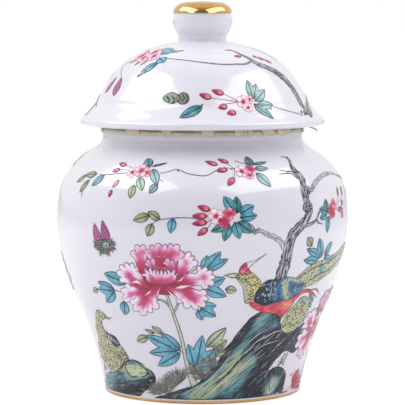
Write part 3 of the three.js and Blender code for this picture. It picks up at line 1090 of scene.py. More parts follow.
def peony(wall, degrees, height):
    """An open peony in mm about its heart: outer petals, crown, heart, two inner balls and a fringe."""
    anchor = (degrees, height)
    shapes = [
        ([(-20, -6), (-24, -7), (-25, -11), (-22, -15), (-18, -14)], [(-12, -10), (-5, -5), (-12, -3)],
         -0.04),
        ([(-19, -13), (-20, -17), (-17, -20), (-12, -20), (-9, -18), (-6, -14)],
         [(-4, -8), (-2, -3), (-9, -3), (-15, -8)],
         0.0),
        ([(-24, -4), (-26, -1), (-26, 3), (-23, 5), (-20, 6), (-17, 5), (-15, 2)],
         [(-10, -3), (-8, -6), (-15, -7)], -0.06),
        ([(5, -11), (8, -14), (12, -16), (16, -16), (19, -13), (20, -10), (17, -7)],
         [(12, -5), (3, -3), (0, -5)], 0.0),
        ([(14, 3), (16, 5), (19, 5), (22, 4), (24, 2), (24, -1), (22, -4), (18, -4)],
         [(11, -5), (2, -5), (2, 0), (8, 2)],
         -0.02),
        ([(7, 9), (8, 12), (11, 13), (14, 12), (15, 10), (15, 6)], [(11, 2), (5, 0), (6, 5)], -0.05),
        ([(-17, 10), (-16, 14), (-13, 16), (-10, 15), (-10, 11)], [(-9, 4), (-10, -3), (-12, -3), (-15, 4)],
         0.08),
        ([(-9, 11), (-8, 15), (-5, 16), (-1, 16), (2, 16), (5, 17), (8, 15), (7, 10)],
         [(6, 2), (2, -3), (-7, -3), (-9, 4)],
         0.12),
        ([(-10, 6), (-10, 8), (-8, 9), (-5, 8)], [(-5, 5), (-7, 4)], 0.16),
        ([(0, 7), (0, 9), (3, 9), (5, 8)], [(6, 5), (3, 4)], 0.16),
        ([(-11, 0), (-11, 2), (-9, 3), (-7, 3), (-5, 2), (-3, 2), (-1, 2), (1, 2), (3, 3), (5, 2), (6, 1)],
         [(5, -2), (1, -4), (-6, -4), (-10, -3)], 0.08),
    ]
    t = np.linspace(0, 2 * math.pi, 24, endpoint=False)
    heart = np.stack([-1 + 12 * np.cos(t), -2 + 8 * np.sin(t)], 1)
    lay(wall, "peonies", patch(heart, 1.5, lambda flat: np.full_like(flat, 14.0)), anchor, 5.4)
    for i, (notches, sides, tint) in enumerate(shapes):
        petal(wall, anchor, notches, sides, 6 + i * 1.1, tint, 3.4 if i < 8 else 2.0, 1.2 if i == 10 else 0.6)
    for places, widths in (
            ([(-11, 5), (-6, 6), (-3, 5), (1, 5), (5, 5)], (0.3, 1.0, 0.8, 1.0, 0.3)),
            ([(-6, 12), (-2, 11), (2, 12)], (0.2, 1.2, 0.2))):
        stroke(wall, "stems", anchor, places, widths, 0.3, 18)
    for places, width in (
            ([(-16, 4), (-14, 1), (-12, -2)], 1.3), ([(6, 14), (7, 11), (6, 8)], 1.0),
             ([(5, -2), (8, -1), (11, 3)], 1.1),
            ([(-20, -4), (-16, -3), (-13, -5)], 2.0), ([(4, -6), (8, -5), (14, -4)], 2.0),
            ([(-13, -11), (-10, -9), (-8, -7)], 1.3), ([(-9, 15), (-10, 12), (-9, 9)], 1.0),
            ([(0, -6), (3, -10), (7, -13)], 1.4), ([(-3, -5), (-5, -9), (-6, -13)], 1.0)):
        stroke(wall, "blossoms", anchor, places, (0.1, width, 0.1), -0.3, 20)


def inside(place, polygon):
    found = False
    for (ax, ay), (bx, by) in zip(polygon, np.roll(polygon, -1, axis=0)):
        if (ay > place[1]) != (by > place[1]) and place[0] < (bx - ax) * (place[1] - ay) / (by - ay) + ax:
            found = not found
    return found


def scatter(draw, places, count):
    """So many random places inside the polygon of the given ones."""
    known = np.array(places, float)
    low, high = known.min(0), known.max(0)
    while count:
        place = draw.uniform(low[0], high[0]), draw.uniform(low[1], high[1])
        if inside(place, known):
            count -= 1
            yield place


def spots(wall, places, count, size, tint, seed, layer=12, pile="strokes", heading=0.0):
    """Small touches scattered inside a shape."""
    draw = random.Random(seed)
    for place in scatter(draw, places, count):
        dash(wall, *place, heading + draw.uniform(-25, 25), size * draw.uniform(0.7, 1.3),
             size * draw.uniform(0.5, 0.9), tint, layer, 0.0, pile)


def insect(wall, degrees, height, heading, size=1.0):
    """A winged insect: two netted wings folded up, a dark body fringed with hairs and a turquoise patch."""
    turn = math.radians(heading - 90)

    def at(right, up):
        return beside(wall, degrees, height, size * (right * math.cos(turn) - up * math.sin(turn)),
                      size * (right * math.sin(turn) + up * math.cos(turn)))

    t = np.linspace(0, 1, 11)
    for right, width, length, tint in ((3.0, 3.1, 13.0, 0.5), (-3.2, 2.9, 12.0, 0.0)):
        half = width * np.sin(math.pi * t ** 0.66) ** 0.8
        lay(wall, "wings", patch(mirrored(half, length * t) * size, 1.0), at(right, -1.5), 6, heading + 8,
            tint=tint)
    t = np.linspace(0, 2 * math.pi, 20, endpoint=False)
    body = patch(np.stack([6.8 * np.cos(t), np.where(np.sin(t) > 0, 1.4, 6.4) * np.sin(t)], 1) * size, 1.2)
    lay(wall, "birds", body, at(0, 0), 7, heading, tint=0.14)
    spot = patch(np.stack([2.6 * np.cos(t), 2.2 * np.sin(t)], 1) * size, 1.2, lambda flat: flat * 0.1 + 0.6)
    lay(wall, "leaves", spot, at(1.6, -2.0), 9, heading, tint=0.62)
    draw = random.Random(int(degrees * 10 + height))
    for i in range(96):
        angle = math.radians(draw.uniform(165, 375))
        reach = draw.uniform(0.3, 1.0) if i % 2 else draw.uniform(0.75, 1.0)
        length = draw.uniform(1.6, 3.4) * size
        dash(wall, *at(6.4 * reach * math.cos(angle), 6.0 * reach * math.sin(angle)),
             math.degrees(angle) + heading - 90 + draw.uniform(-25, 25), length, 0.5,
             draw.choice([1.0, 1.0, 1.0, 0.35, 0.5]), 10)


def moss(wall, degrees, height, radius, count, start, stop, seed):
    """A tuft of moss: short strokes fanned out from one place."""
    draw = random.Random(seed)
    for _ in range(count):
        heading = draw.uniform(start, stop)
        inner = draw.uniform(0.0, 0.55) * radius
        way = math.radians(heading)
        place = beside(wall, degrees, height, inner * math.cos(way), inner * math.sin(way))
        dash(wall, *place, heading + draw.uniform(-12, 12), radius * draw.uniform(0.4, 0.7), 0.36,
             draw.choice([0.6, 0.75, 1.0, 1.0]), 8, draw.uniform(-0.02, 0.02))


def bark_strokes(wall, places, widths, count, seed, width=0.45):
    """Long thin strokes that follow a trunk, black and white by turns."""
    draw = random.Random(seed)
    known = np.array(places, float)
    spans = np.linspace(0, 1, len(known))
    reach = 9 / travel(wall.on_paper(places, places[0]))[-1]
    for i in range(count):
        t = draw.uniform(0.0, 1 - reach)
        aside = draw.uniform(-0.46, 0.46) * np.interp(t, np.linspace(0, 1, len(widths)), widths)
        stops = t + reach * draw.uniform(0.4, 1.0) * np.array([0, 0.5, 1.0])
        path = [beside(wall, *(np.interp(s, spans, side) for side in known.T), aside, 0) for s in stops]
        line(wall, path, (0.1, width, 0.1), 0.93 if i % 5 < 2 else 1.0, 9, "strokes")


def slope_strokes(wall, places, count, heading, length, tints, seed, layer=5, width=0.5):
    """Brush strokes up the slope of a rock, kept within the polygon of its places."""
    draw = random.Random(seed)
    for place in scatter(draw, places, count):
        dash(wall, *place, heading + draw.uniform(-9, 9), draw.uniform(0.4, 1.0) * length,
             draw.uniform(0.5, 1.0) * width, draw.choice(tints), layer + draw.random(),
             draw.uniform(-0.006, 0.006), "strokes")


# ------------------------------------------------------------------ the painting on the jar

def paint_shoulder_sprays(jar):
    """Two sprays that meet on the shoulder."""
    each(line, jar,
        ([(-48, 120), (-45, 120), (-38, 121), (-31, 122)], 0.5),
        ([(-36, 125), (-32, 124), (-28, 124)], 0.4, 0.25),
        ([(-38, 123), (-33, 123), (-28, 123)], 0.4, 0.25))
    each(leaf, jar, (-45, 120, -50, 114, 5.0, 0.35), (-50, 120, -58, 119, 4.2, 1.0),
        (-57, 119, -62, 115, 3.6, 1.0), (-53, 117, -57, 110, 4.0, 1.0))
    line(jar, [(-51, 120), (-53, 117), (-55, 113), (-55, 108)], 0.4)
    each(bud, jar, (-36, 125, -41, 126, 3.4), (-38, 123, -42, 122, 3.2), (-38, 113, -39, 109, 2.6),
        (-36, 118, -38, 114, 2.8, -0.4))
    each(blossom, jar, (-27, 123, 4.4, 0.35, 20), (-31, 122, 3.6, 0.1, 60, 6), (-24, 122, 3.0, 0.5, 80, 6))
    each(leaf, jar, (-24, 124, -27, 129, 5.6, 0.5), (-23, 125, -16, 127, 1.8, 0.45),
        (-22, 124, -18, 116, 5.0, 0.68), (-18, 117, -21, 112, 4.4, 0.55, 7), (-27, 120, -24, 113, 5.0, 0.82),
        (-28, 116, -29, 109, 4.6, 0.86))
    line(jar, [(-18, 122), (-14, 123), (-11, 124), (-6, 122), (1, 121), (5, 123), (8, 125)], 0.55)
    dash(jar, -10.5, 123, 90, 1.3, 1.2, 1.0)
    line(jar, [(-19, 120), (-16, 118)], 0.4)
    each(bud, jar, (7, 126, 1, 128, 3.6), (12, 127, 7, 129, 3.4), (11, 124, 6, 123, 3.4),
        (13, 120, 10, 116, 3.8))
    for start in ((11, 127), (9, 125), (12, 124), (13, 120)):
        line(jar, [start, (14, 124)], 0.36)
    each(blossom, jar, (17, 123, 4.2, 0.1, 10), (21, 124, 3.0, 0.8, 50, 8), (20, 121, 2.8, 0.5, 80, 9))
    each(leaf, jar, (22, 125, 22, 130, 5.0, 0.45), (23, 126, 31, 127, 2.6, 0.5),
        (23, 124, 30, 124, 3.4, 0.68), (23, 122, 28, 115, 5.4, 0.7))
    line(jar, [(15, 128), (18, 127), (21, 126)], 0.5)


def paint_branch_end(jar):
    """The blossom, buds and leaves at the end of the left branch, and the twig that hangs out to the left."""
    for base, tip in (((3, 104), (-2, 106)), ((2, 101), (-4, 101)), ((2, 98), (-4, 97)), ((2, 95), (-2, 91))):
        bud(jar, *base, *tip, 3.6)
        line(jar, [base, (4, 100 + (base[1] - 100) / 4), (6, 100)], 0.4)
    each(leaf, jar, (12, 103, 8, 111, 5.6, 0.35), (13, 102, 13, 111, 5.4, 0.45), (14, 102, 20, 106, 5.6, 0.1),
        (14, 100, 21, 101, 5.4, 0.05), (13, 98, 19, 92, 5.8, 0.42), (12, 98, 14, 89, 5.4, 0.1),
        (10, 97, 8, 88, 5.2, 0.4), (10, 97, 3, 93, 4.6, 0.45))
    each(blossom, jar, (5, 101, 4.4, 0.1, 40, 8), (10, 102, 3.6, 0.7, 80, 9), (8, 98, 3.4, 0.95, 10, 9))
    line(jar, [(0, 99), (-4, 100), (-10, 100), (-16, 99)], 0.5)
    each(leaf, jar, (-16, 99, -21, 103, 4.6, 1.0), (-20, 101, -27, 98, 5.0, 1.0, 7))
    line(jar, [(-16, 99), (-19, 97)], 0.4)
    each(leaf, jar, (-19, 97, -21, 90, 5.2, 1.0), (-11, 100, -12, 92, 4.8, 0.25))


def paint_tree(jar):
    """The prunus trunk, its branches and its bark."""
    trunk = [(32, 62), (33, 70), (34, 77), (35, 86), (37, 91), (41, 95), (44, 99), (45, 103), (44, 107),
        (44, 111), (44, 114), (45, 118), (44, 121), (43, 123), (44, 126), (45, 129)]
    widths = (7.4, 7.2, 7.0, 6.2, 5.8, 5.0, 4.4, 6.0, 4.2, 5.0, 4.4, 4.2, 3.8, 3.2, 1.8, 1.0)
    left = [(33, 83), (30, 88), (25, 91), (22, 93), (20, 93)]
    right = [(48, 112), (50, 114), (53, 116), (58, 118), (63, 119), (71, 119), (78, 117)]
    each(line, jar,
        (left, (3.4, 3.0, 2.6, 2.4, 1.8), 1.0, 4, "bark", 0.3),
        ([(22, 94), (20, 92), (20, 91)], (1.8, 1.6, 0.3), 0.2, 5, "bark", 0.3),
        ([(20, 92), (18, 96), (15, 97)], (1.6, 1.8, 2.0), 0.1, 5, "bark", 0.4),
        ([(38, 90), (42, 94), (46, 95), (49, 97), (51, 101)], (2.6, 2.2, 1.8, 1.4, 1.0), 0.3, 4, "bark", 0.3),
        ([(49, 97), (50, 95), (53, 94)], (0.8, 0.9, 0.3), 0.1, 5, "bark", 0.3),
        ([(46, 114), (47, 112), (49, 112)], (2.4, 2.6, 1.6), 0.3, 5, "bark", 0.3),
        (right, (2.2, 2.6, 2.4, 2.2, 2.4, 1.8, 0.8), 0.8, 4, "bark", 0.3))
    for twig in ([(44, 119), (41, 122), (39, 122), (35, 123)], [(43, 118), (40, 121), (34, 121)]):
        line(jar, twig, (1.2, 0.8, 0.6, 0.3), 0.2, 4, "bark", 0.3)
    each(line, jar,
        ([(45, 128), (43, 129), (41, 129)], (1.0, 0.7, 0.3), 0.1, 4, "bark", 0.3),
        (trunk, widths, 0.0, 6, "bark", 0.3))
    bark_strokes(jar, trunk, widths, 110, 5, 0.56)
    bark_strokes(jar, left, (2.4,), 12, 6, 0.3)
    bark_strokes(jar, right, (2.2,), 16, 7, 0.3)
    shape(jar, "bark", [(42, 105), (45, 106), (47, 103), (45, 101), (42, 102)], 0.0, 9, 1.0)
    for place in ((43, 116), (38, 90), (34, 76), (43, 103), (45, 103), (46, 110), (42, 121), (35, 84)):
        dash(jar, *place, 60, 3.0, 1.3, 1.0, 10)


def paint_right_blossoms(jar):
    """Blossoms and leaves on the right, past the trunk."""
    each(blossom, jar, (60, 100, 4.4, 0.95, 30, 8), (62, 104, 3.0, 0.6, 10, 8))
    each(leaf, jar, (56, 100, 56, 107, 5.0, 0.45), (57, 100, 51, 102, 5.0, 0.42), (56, 99, 51, 97, 4.4, 0.05),
        (57, 98, 56, 89, 5.0, 0.3), (54, 76, 51, 87, 6.0, 0.1), (53, 77, 44, 82, 5.0, 0.15),
        (53, 76, 47, 78, 5.0, 0.1), (52, 75, 43, 76, 5.0, 0.15), (56, 77, 61, 84, 4.8, 0.3),
        (56, 76, 63, 74, 4.4, 0.2), (54, 74, 57, 66, 5.0, 0.1), (47, 83, 44, 88, 5.4, 1.0))
    for base, tip in (((68, 107), (69, 112)), ((73, 107), (75, 112)), ((71, 102), (72, 105)),
            ((71, 99), (70, 95)), ((66, 100), (72, 100))):
        bud(jar, *base, *tip, 3.2)
        line(jar, [base, (62, 101)], 0.4, 0.2)


def paint_peony_plant(jar):
    """The big peony, its stalk and its leaves."""
    each(line, jar,
        ([(-15, 63), (-14, 56), (-12, 46), (-10, 36), (-9, 28), (-7, 18), (-4, 9)],
         (0.9, 1.8, 1.9, 2.0, 2.2, 2.8, 4.2), 0, 4, "stalks"),
        ([(-19, 57), (-16, 56), (-14, 53)], (0.9, 1.4, 1.1), 0, 4.5, "stalks"),
        ([(-10, 56), (-11, 53), (-13, 49)], (1.2, 1.4, 1.0), 0, 4.5, "stalks"))
    each(leaf, jar, (-32, 65, -43, 69, 7.4, 0.1), (-39, 61, -48, 64, 4.6, 0.3), (-39, 60, -49, 60, 6.0, 0.2),
        (-39, 60, -46, 53, 6.2, 0.22), (-35, 55, -37, 47, 6.2, 0.18), (1, 73, 7, 83, 6.0, 0.1),
        (1, 73, 10, 79, 5.0, 0.18), (0, 73, 2, 81, 4.4, 0.25), (0, 64, 9, 69, 6.6, 0.15),
        (0, 64, 10, 59, 6.8, 0.2), (-1, 54, 6, 54, 5.0, 0.25), (-1, 53, 6, 48, 6.0, 0.15),
        (-2, 52, 0, 46, 4.6, 0.3), (-49, 60, -53, 58, 3.6, 0.95), (9, 63, 14, 62, 4.8, 0.95))
    each(line, jar,
        ([(-34, 60), (-37, 60), (-40, 61)], 0.5, 0.0),
        ([(-9, 28), (-12, 29), (-15, 30)], 0.6, 0.5))
    each(leaf, jar, (-11, 28, -24, 20, 7.0, 0.2), (-13, 29, -28, 27, 6.0, 0.22),
        (-12, 29, -28, 37, 7.4, 0.18), (-11, 29, -20, 39, 6.0, 0.25), (-27, 36, -34, 33, 4.8, 0.95),
        (-19, 38, -24, 42, 3.8, 0.95), (-23, 38, -28, 40, 2.4, 0.95), (-3, 20, 9, 22, 5.4, 0.2),
        (-4, 20, -7, 33, 6.0, 0.22), (-3, 21, 7, 30, 6.4, 0.18), (-3, 21, 0, 38, 6.8, 0.25),
        (2, 31, 11, 42, 6.4, 0.85), (5, 30, 12, 35, 5.2, 0.9), (6, 27, 12, 29, 4.0, 0.95))
    peony(jar, -14.5, 69)


ROCK = [(-28, 2), (-20, 5), (-12, 8), (-3, 11), (2, 17), (7, 22), (9, 26), (10, 29), (14, 34), (16, 38),
    (20, 44), (22, 47), (27, 50), (32, 49), (37, 47), (39, 42), (43, 38), (50, 38), (55, 40), (59, 41),
    (63, 36), (64, 31), (60, 27), (55, 24), (48, 26), (43, 23), (38, 17), (36, 13), (36, 8), (37, 2), (20, 2),
    (0, 2), (-14, 2)]
ROCK_ARCH = [(36, 12), (38, 16), (43, 18), (48, 17), (51, 15), (53, 10), (52, 4), (50, 2), (42, 2), (36, 2),
    (34, 6)]
LEFT_ROCK = [(-76, 5), (-68, 11), (-62, 13), (-55, 14), (-47, 19), (-41, 22), (-37, 22), (-32, 19), (-28, 17),
    (-26, 13), (-28, 8), (-33, 6), (-36, 4), (-39, 2), (-50, 2), (-64, 2), (-74, 2)]


def paint_rocks(jar):
    """The rocks round the foot, with moss and a small crimson blossom."""
    each(shape, jar,
        ("rocks", ROCK, 0.05, 1, 1.6, 43, 4, (([(15, 24), (22, 33), (28, 41), (30, 45)], 5.0, 0.74),
         ([(28, 45), (36, 42)], 3.4, 0.7), ([(-22, 4), (-10, 6), (0, 9)], 2.6, 0.5),
         ([(-4, 4), (6, 10), (15, 17), (22, 23)], 5.6, 1.15), ([(14, 4), (21, 12), (27, 22)], 3.0, 0.7),
         ([(54, 39), (60, 38), (62, 31)], 4.4, 0.72), ([(29, 32), (40, 34), (50, 34)], 4.6, -0.45),
         ([(45, 28), (37, 19), (32, 9)], 4.0, -0.45), ([(6, 21), (12, 28), (17, 37), (20, 43)], 2.2, -0.4))),
        ("rocks", ROCK_ARCH, 0.02, 2, 1.4, 60, 4, (([(40, 5), (43, 10)], 3.4, 1.15),)))
    for places, width in (([(38, 4), (43, 5), (46, 11)], 0.6), ([(22, 27), (27, 33), (33, 36), (38, 38),
            (46, 38)], 0.6), ([(20, 30), (26, 36), (31, 40)], 0.5), ([(24, 26), (32, 31), (42, 33)], 0.4),
            ([(-6, 7), (2, 12), (9, 19), (14, 27)], 0.5), ([(16, 10), (22, 20), (30, 27)], 0.4)):
        line(jar, places, (0.1, width, width, 0.1), 0.93, 7, "strokes")
    for places in ([(10, 28), (16, 35), (22, 45), (28, 48)], [(2, 8), (12, 15), (22, 26), (34, 34)],
            [(26, 12), (31, 18), (40, 27), (52, 33)], [(-20, 4), (-8, 8), (2, 14), (8, 22)]):
        line(jar, places, (0.2, 1.0, 1.2, 0.2), 1.0, 5, "strokes", 0.6)
    slope_strokes(jar, ROCK, 90, 42, 9, (1.0, 1.0, 0.0), 3, 4)
    slope_strokes(jar, ROCK, 60, 42, 8, (0.6, 0.6, 0.7, 0.93), 13, 5, 0.36)
    slope_strokes(jar, ROCK_ARCH, 26, 80, 5, (0.0, 1.0, 0.6), 5, 4)
    line(jar, [(34, 3), (44, 2), (57, 3)], (0.4, 1.6, 0.6), 0, 3, "stalks")
    slope_strokes(jar, [(36, 2), (57, 2), (57, 4), (36, 4)], 16, 30, 3, (0.93, 0.0), 15, 5, 0.4)
    shape(jar, "rocks", LEFT_ROCK, 0.5, 2, 1.6, 10, 4, (([(-60, 3), (-44, 4), (-36, 7), (-30, 12), (-27, 15)],
        3.2, 0.05), ([(-44, 17), (-34, 17)], 4.4, 1.25), ([(-70, 6), (-60, 8)], 4, 0.62)))
    each(line, jar,
        ([(-55, 14), (-49, 17), (-44, 21), (-38, 22), (-32, 20)], (0.4, 0.8, 0.6, 0.5, 0.3), 1.0, 7,
         "strokes"),
        ([(-44, 20), (-46, 17), (-43, 13), (-38, 13)], (0.3, 0.9, 0.7, 0.3), 1.0, 7, "strokes"),
        ([(-42, 19), (-39, 20), (-38, 18), (-40, 17)], (0.3, 0.6, 0.6, 0.2), 0.5, 7),
        ([(-35, 13), (-31, 15), (-30, 18)], (0.3, 0.9, 0.3), 1.0, 7, "strokes"))
    slope_strokes(jar, LEFT_ROCK, 34, 12, 4, (1.0, 0.6, 0.7, 0.93), 4, 4, 0.4)
    for places in ([(-44, 8), (-38, 11), (-32, 9)], [(-58, 10), (-52, 13), (-47, 10)],
            [(-36, 20), (-31, 17), (-29, 12)], [(-62, 6), (-55, 8), (-50, 5)],
            [(-35, 8), (-31, 11), (-29, 9)]):
        line(jar, places, (0.2, 0.8, 0.3), 1.0, 7, "strokes")
    for height, degrees in ((26, -69), (22, -70), (17, -68), (12, -70)):
        for aside in (-1.5, 0, 1.8):
            dash(jar, degrees + aside, height - 2 * abs(aside), 100 + 20 * aside, 3.2, 1.5, 0.06, 6)
    for degrees, height, radius, count, seed in ((-12, 11, 9, 130, 1), (-16, 8, 9, 110, 11),
            (-3, 16, 7, 70, 2), (4, 22, 6, 50, 3), (9, 28, 6, 44, 4), (1, 13, 7, 80, 12), (6, 19, 6, 60, 13),
            (-24, 4, 8, 100, 7), (-19, 5, 8, 80, 8), (47, 19, 4, 16, 10)):
        moss(jar, degrees, height, radius, count, 50, 175, seed)
    each(line, jar,
        ([(48, 18), (50, 25)], (0.8, 1.2), 0.5, 5),
        ([(45, 18), (48, 25)], (0.6, 1.0), 0.5, 5))
    each(blossom, jar, (66, 8, 6.0, 1.0, 15), (72, 5, 5.0, 1.0, 60, 6))
    spots(jar, [(56, 4), (57, 12), (64, 15), (70, 14), (70, 3)], 30, 1.0, 0.3, 21, 14)


HEN = [(-60, 43), (-58, 46), (-55, 48), (-52, 47), (-50, 45), (-52, 43), (-55, 42), (-56, 39), (-55, 36),
    (-50, 34), (-46, 30), (-43, 26), (-42, 22), (-47, 19), (-54, 14), (-61, 13), (-65, 16), (-68, 20),
    (-69, 26), (-66, 31), (-65, 36), (-62, 40)]


def paint_hen(jar):
    """The hen pheasant on the left: olive scales, a dark barred wing and a small head that looks right."""
    shape(jar, "birds", HEN, 0.0, 7, 1.3, 60, 3)
    wing = [(-55, 36), (-52, 35), (-48, 34), (-46, 30), (-47, 29), (-51, 28), (-53, 31), (-55, 33)]
    shape(jar, "birds", wing, 0.2, 9, 1.2, 60)
    for share in range(7):
        line(jar, [(-54 + share, 32 - 0.3 * share), (-53 + share, 35 - 0.7 * share)], (0.3, 0.7, 0.3), 0.92,
            11, "strokes")
    each(line, jar,
        ([(-51, 45), (-48, 44), (-46, 45)], (1.0, 0.7, 0.2), 0.75, 9),
        ([(-51, 44), (-48, 43)], (0.6, 0.3), 0.75, 9))
    dash(jar, -54, 45, 0, 1.0, 0.9, 1.0, 12)
    line(jar, [(-50, 24), (-47, 22), (-45, 20)], (0.3, 0.6, 0.3), 1.0, 11)
    for share in range(5):
        line(jar, [(-53 + 2 * share, 26), (-50 + 2 * share, 20)], (0.2, 0.4, 0.2), 1.0, 11)
    each(spots, jar,
        (HEN, 70, 1.2, 1.0, 31, 10, "stems", 40),
        (HEN, 24, 1.0, 0.92, 32, 10.5, "strokes", 40))


def paint_cock(jar):
    """The cock pheasant on the rock, with its long spotted tail."""
    tail = [(40, 66), (44, 70), (48, 73), (56, 75), (66, 77), (78, 81), (84, 80), (78, 74), (70, 69),
        (60, 65), (52, 62), (46, 61), (42, 63)]
    shape(jar, "birds", tail, 0.5, 6, 1.6, 35)
    each(line, jar,
        ([(41, 66), (50, 71), (60, 73), (76, 78)], (0.3, 0.8, 0.8, 0.4), 1.0, 9),
        ([(46, 63), (54, 67), (64, 69), (76, 75)], (0.3, 0.7, 0.7, 0.3), 1.0, 9))
    spots(jar, tail, 110, 1.2, 1.0, 41, 8, "stems", 35)
    thigh = [(44, 52), (47, 56), (52, 55), (56, 49), (55, 43), (52, 39), (46, 36), (40, 39), (40, 45),
        (42, 50)]
    shape(jar, "birds", thigh, 0.54, 6, 1.4, 70, 4, (([(47, 54), (52, 53)], 2.6, 0.46),))
    spots(jar, thigh, 90, 1.2, 1.0, 42, 8, "stems", 40)
    for place in ((52, 57), (54, 55), (54, 52)):
        leaf(jar, *place, place[0] + 3, place[1] - 3, 2.6, 0.2, 9)
    each(line, jar,
        ([(40, 52), (45, 58), (50, 59), (54, 57), (59, 54)], (3.4, 2.6, 2.2, 1.6, 0.4), 0.8, 6.5, "birds"),
        ([(51, 59), (56, 59), (60, 56)], (0.6, 1.2, 0.3), 0.8, 7, "birds"))
    neck = [(13, 69), (14, 71), (16, 72), (19, 72), (22, 69), (24, 66), (24, 61), (22, 57), (20, 55),
        (18, 55), (17, 59), (16, 64)]
    shape(jar, "birds", neck, 0.6, 8, 1.2, 60)
    each(spots, jar,
        (neck, 56, 1.1, 1.0, 43, 10, "stems", 60),
        (neck, 12, 0.9, 0.3, 44, 10, "strokes", 60))
    line(jar, [(15, 67), (17, 63), (18, 58), (19, 55)], (0.8, 1.4, 1.2, 0.4), 0.95, 11, "strokes")
    belly = [(20, 55), (22, 52), (28, 49), (34, 48), (38, 46), (41, 49), (43, 55), (37, 56), (30, 55),
        (25, 56)]
    shape(jar, "birds", belly, 0.8, 7, 1.2, 20, 4, (([(38, 53), (41, 52)], 2.2, 1.0),))
    body = [(22, 56), (22, 60), (24, 64), (27, 67), (32, 67), (36, 68), (42, 66), (47, 62), (44, 58),
        (38, 55), (32, 54), (27, 53)]
    shape(jar, "birds", body, 0.2, 10, 1.0, 60, 4, (([(31, 62), (32, 57)], 2.0, 0.34),
        ([(35, 65), (36, 61), (38, 57)], 2.8, 0.54), ([(42, 60), (46, 60)], 2.8, 0.42),
        ([(37, 67), (43, 65)], 2.2, 0.5)))
    spots(jar, [(23, 57), (24, 64), (30, 66), (32, 58), (27, 54)], 50, 0.9, 0.8, 45, 12, "strokes", 60)
    slope_strokes(jar, [(36, 57), (38, 62), (46, 62), (44, 59), (38, 56)], 26, 30, 4, (0.0, 0.7, 0.62), 46,
        12, 0.5)
    each(line, jar,
        ([(34, 65), (36, 60), (37, 56)], (0.2, 0.5, 0.2), 0.93, 13, "strokes"),
        ([(15, 70), (12, 71), (8, 70)], (1.8, 1.1, 0.3), 0.6, 9, "birds"),
        ([(15, 69), (12, 69), (9, 70)], (0.9, 0.7, 0.2), 0.9, 10))
    dash(jar, 17, 68, 0, 1.3, 1.2, 1.0, 13)
    each(bud, jar, (15, 70, 17, 77, 4.4, 0, 9), (17, 70, 18, 74, 3.0, 0, 9))
    each(line, jar,
        ([(15, 75), (18, 77), (21, 78), (25, 81)], 0.35, 0.2, 9),
        ([(17, 71), (19, 75), (21, 77), (25, 81)], 0.35, 0.0, 9),
        ([(34, 49), (34, 45), (33, 41)], 0.6, 1.0, 10),
        ([(38, 48), (38, 44), (37, 40)], 0.6, 1.0, 10))


def paint_side_peonies(jar):
    """Two more peonies, at the edges of the front, with their leaves and a petal that reaches round."""
    line(jar, [(84, 40), (82, 22), (76, 8)], (2.0, 2.4, 2.6), 0, 1, "stalks")
    peony(jar, 80, 41)
    line(jar, [(-105, 62), (-108, 38), (-106, 16), (-103, 4)], (2.0, 2.4, 2.6, 2.8), 0, 1, "stalks")
    peony(jar, -104, 66)
    petal(jar, (-90, 66), [(5, 11), (10, 9), (13, 5), (16, 0), (17, -6), (13, -10)],
        [(4, -6), (-2, 0), (1, 7)], 9, -0.05)
    for base, tip, width, tint in (((-107, 36), (-117, 44), 5.6, 0.1), ((-107, 36), (-119, 35), 5.2, 0.4),
            ((-107, 28), (-99, 36), 5.0, 0.15), ((-107, 28), (-116, 25), 5.0, 0.3),
            ((-124, 65), (-133, 69), 5.4, 0.15), ((-124, 62), (-132, 57), 5.2, 0.42),
            ((82, 20), (92, 26), 5.4, 0.1), ((82, 20), (93, 18), 5.0, 0.4), ((103, 42), (112, 47), 5.4, 0.15),
            ((102, 38), (110, 33), 5.0, 0.4)):
        leaf(jar, *base, *tip, width, tint, 3)


def leaf_fan(wall, degrees, height, headings, length, width, tint, layer=6):
    """Leaves that spread from one joint."""
    for i, heading in enumerate(headings):
        way, reach = (math.radians(heading), length * (1 - 0.16 * (i % 3)))
        leaf(wall, degrees, height, *beside(wall, degrees, height, reach * math.cos(way),
            reach * math.sin(way)), width * (1 - 0.1 * (i % 2)), tint + 0.12 * (i % 3), layer)


def prunus_spray(wall, degrees, height, way, tint=0.0):
    """A twig with blossoms, buds and leaves that goes to the right (way 1) or to the left (-1)."""
    def at(right, up):
        return beside(wall, degrees, height, way * right, up)

    line(wall, [at(0, 0), at(10, 2), at(20, 1), at(32, 4), at(42, 3)], (1.0, 0.8, 0.6, 0.5, 0.3), 0)
    for right, up, tip_right, tip_up in ((40, 4, 46, 6), (36, 4, 41, 9), (42, 3, 47, 1), (20, 2, 24, 8)):
        bud(wall, *at(right, up), *at(tip_right, tip_up), 3.2)
    for right, up, radius, flush, turn in ((14, 3, 4.2, 0.3, 10), (19, 0, 3.6, 0.7, 40),
            (31, 5, 4.0, 0.1, 70)):
        blossom(wall, *at(right, up), radius, flush, turn, 8)
    middle = 90 - 90 * way
    each(leaf_fan, wall, (*at(8, 1), (middle + 60, middle + 100, middle - 70), 8, 4.6, tint), (*at(26, 3),
        (middle + 80, middle - 60, middle - 100), 9, 4.6, tint + 0.1))


BACK_ROCK = [(116, 2), (121, 12), (126, 20), (131, 29), (138, 37), (146, 41), (153, 38), (158, 31), (166, 28),
    (174, 24), (184, 20), (194, 15), (206, 10), (218, 5), (224, 2), (180, 2), (146, 2)]


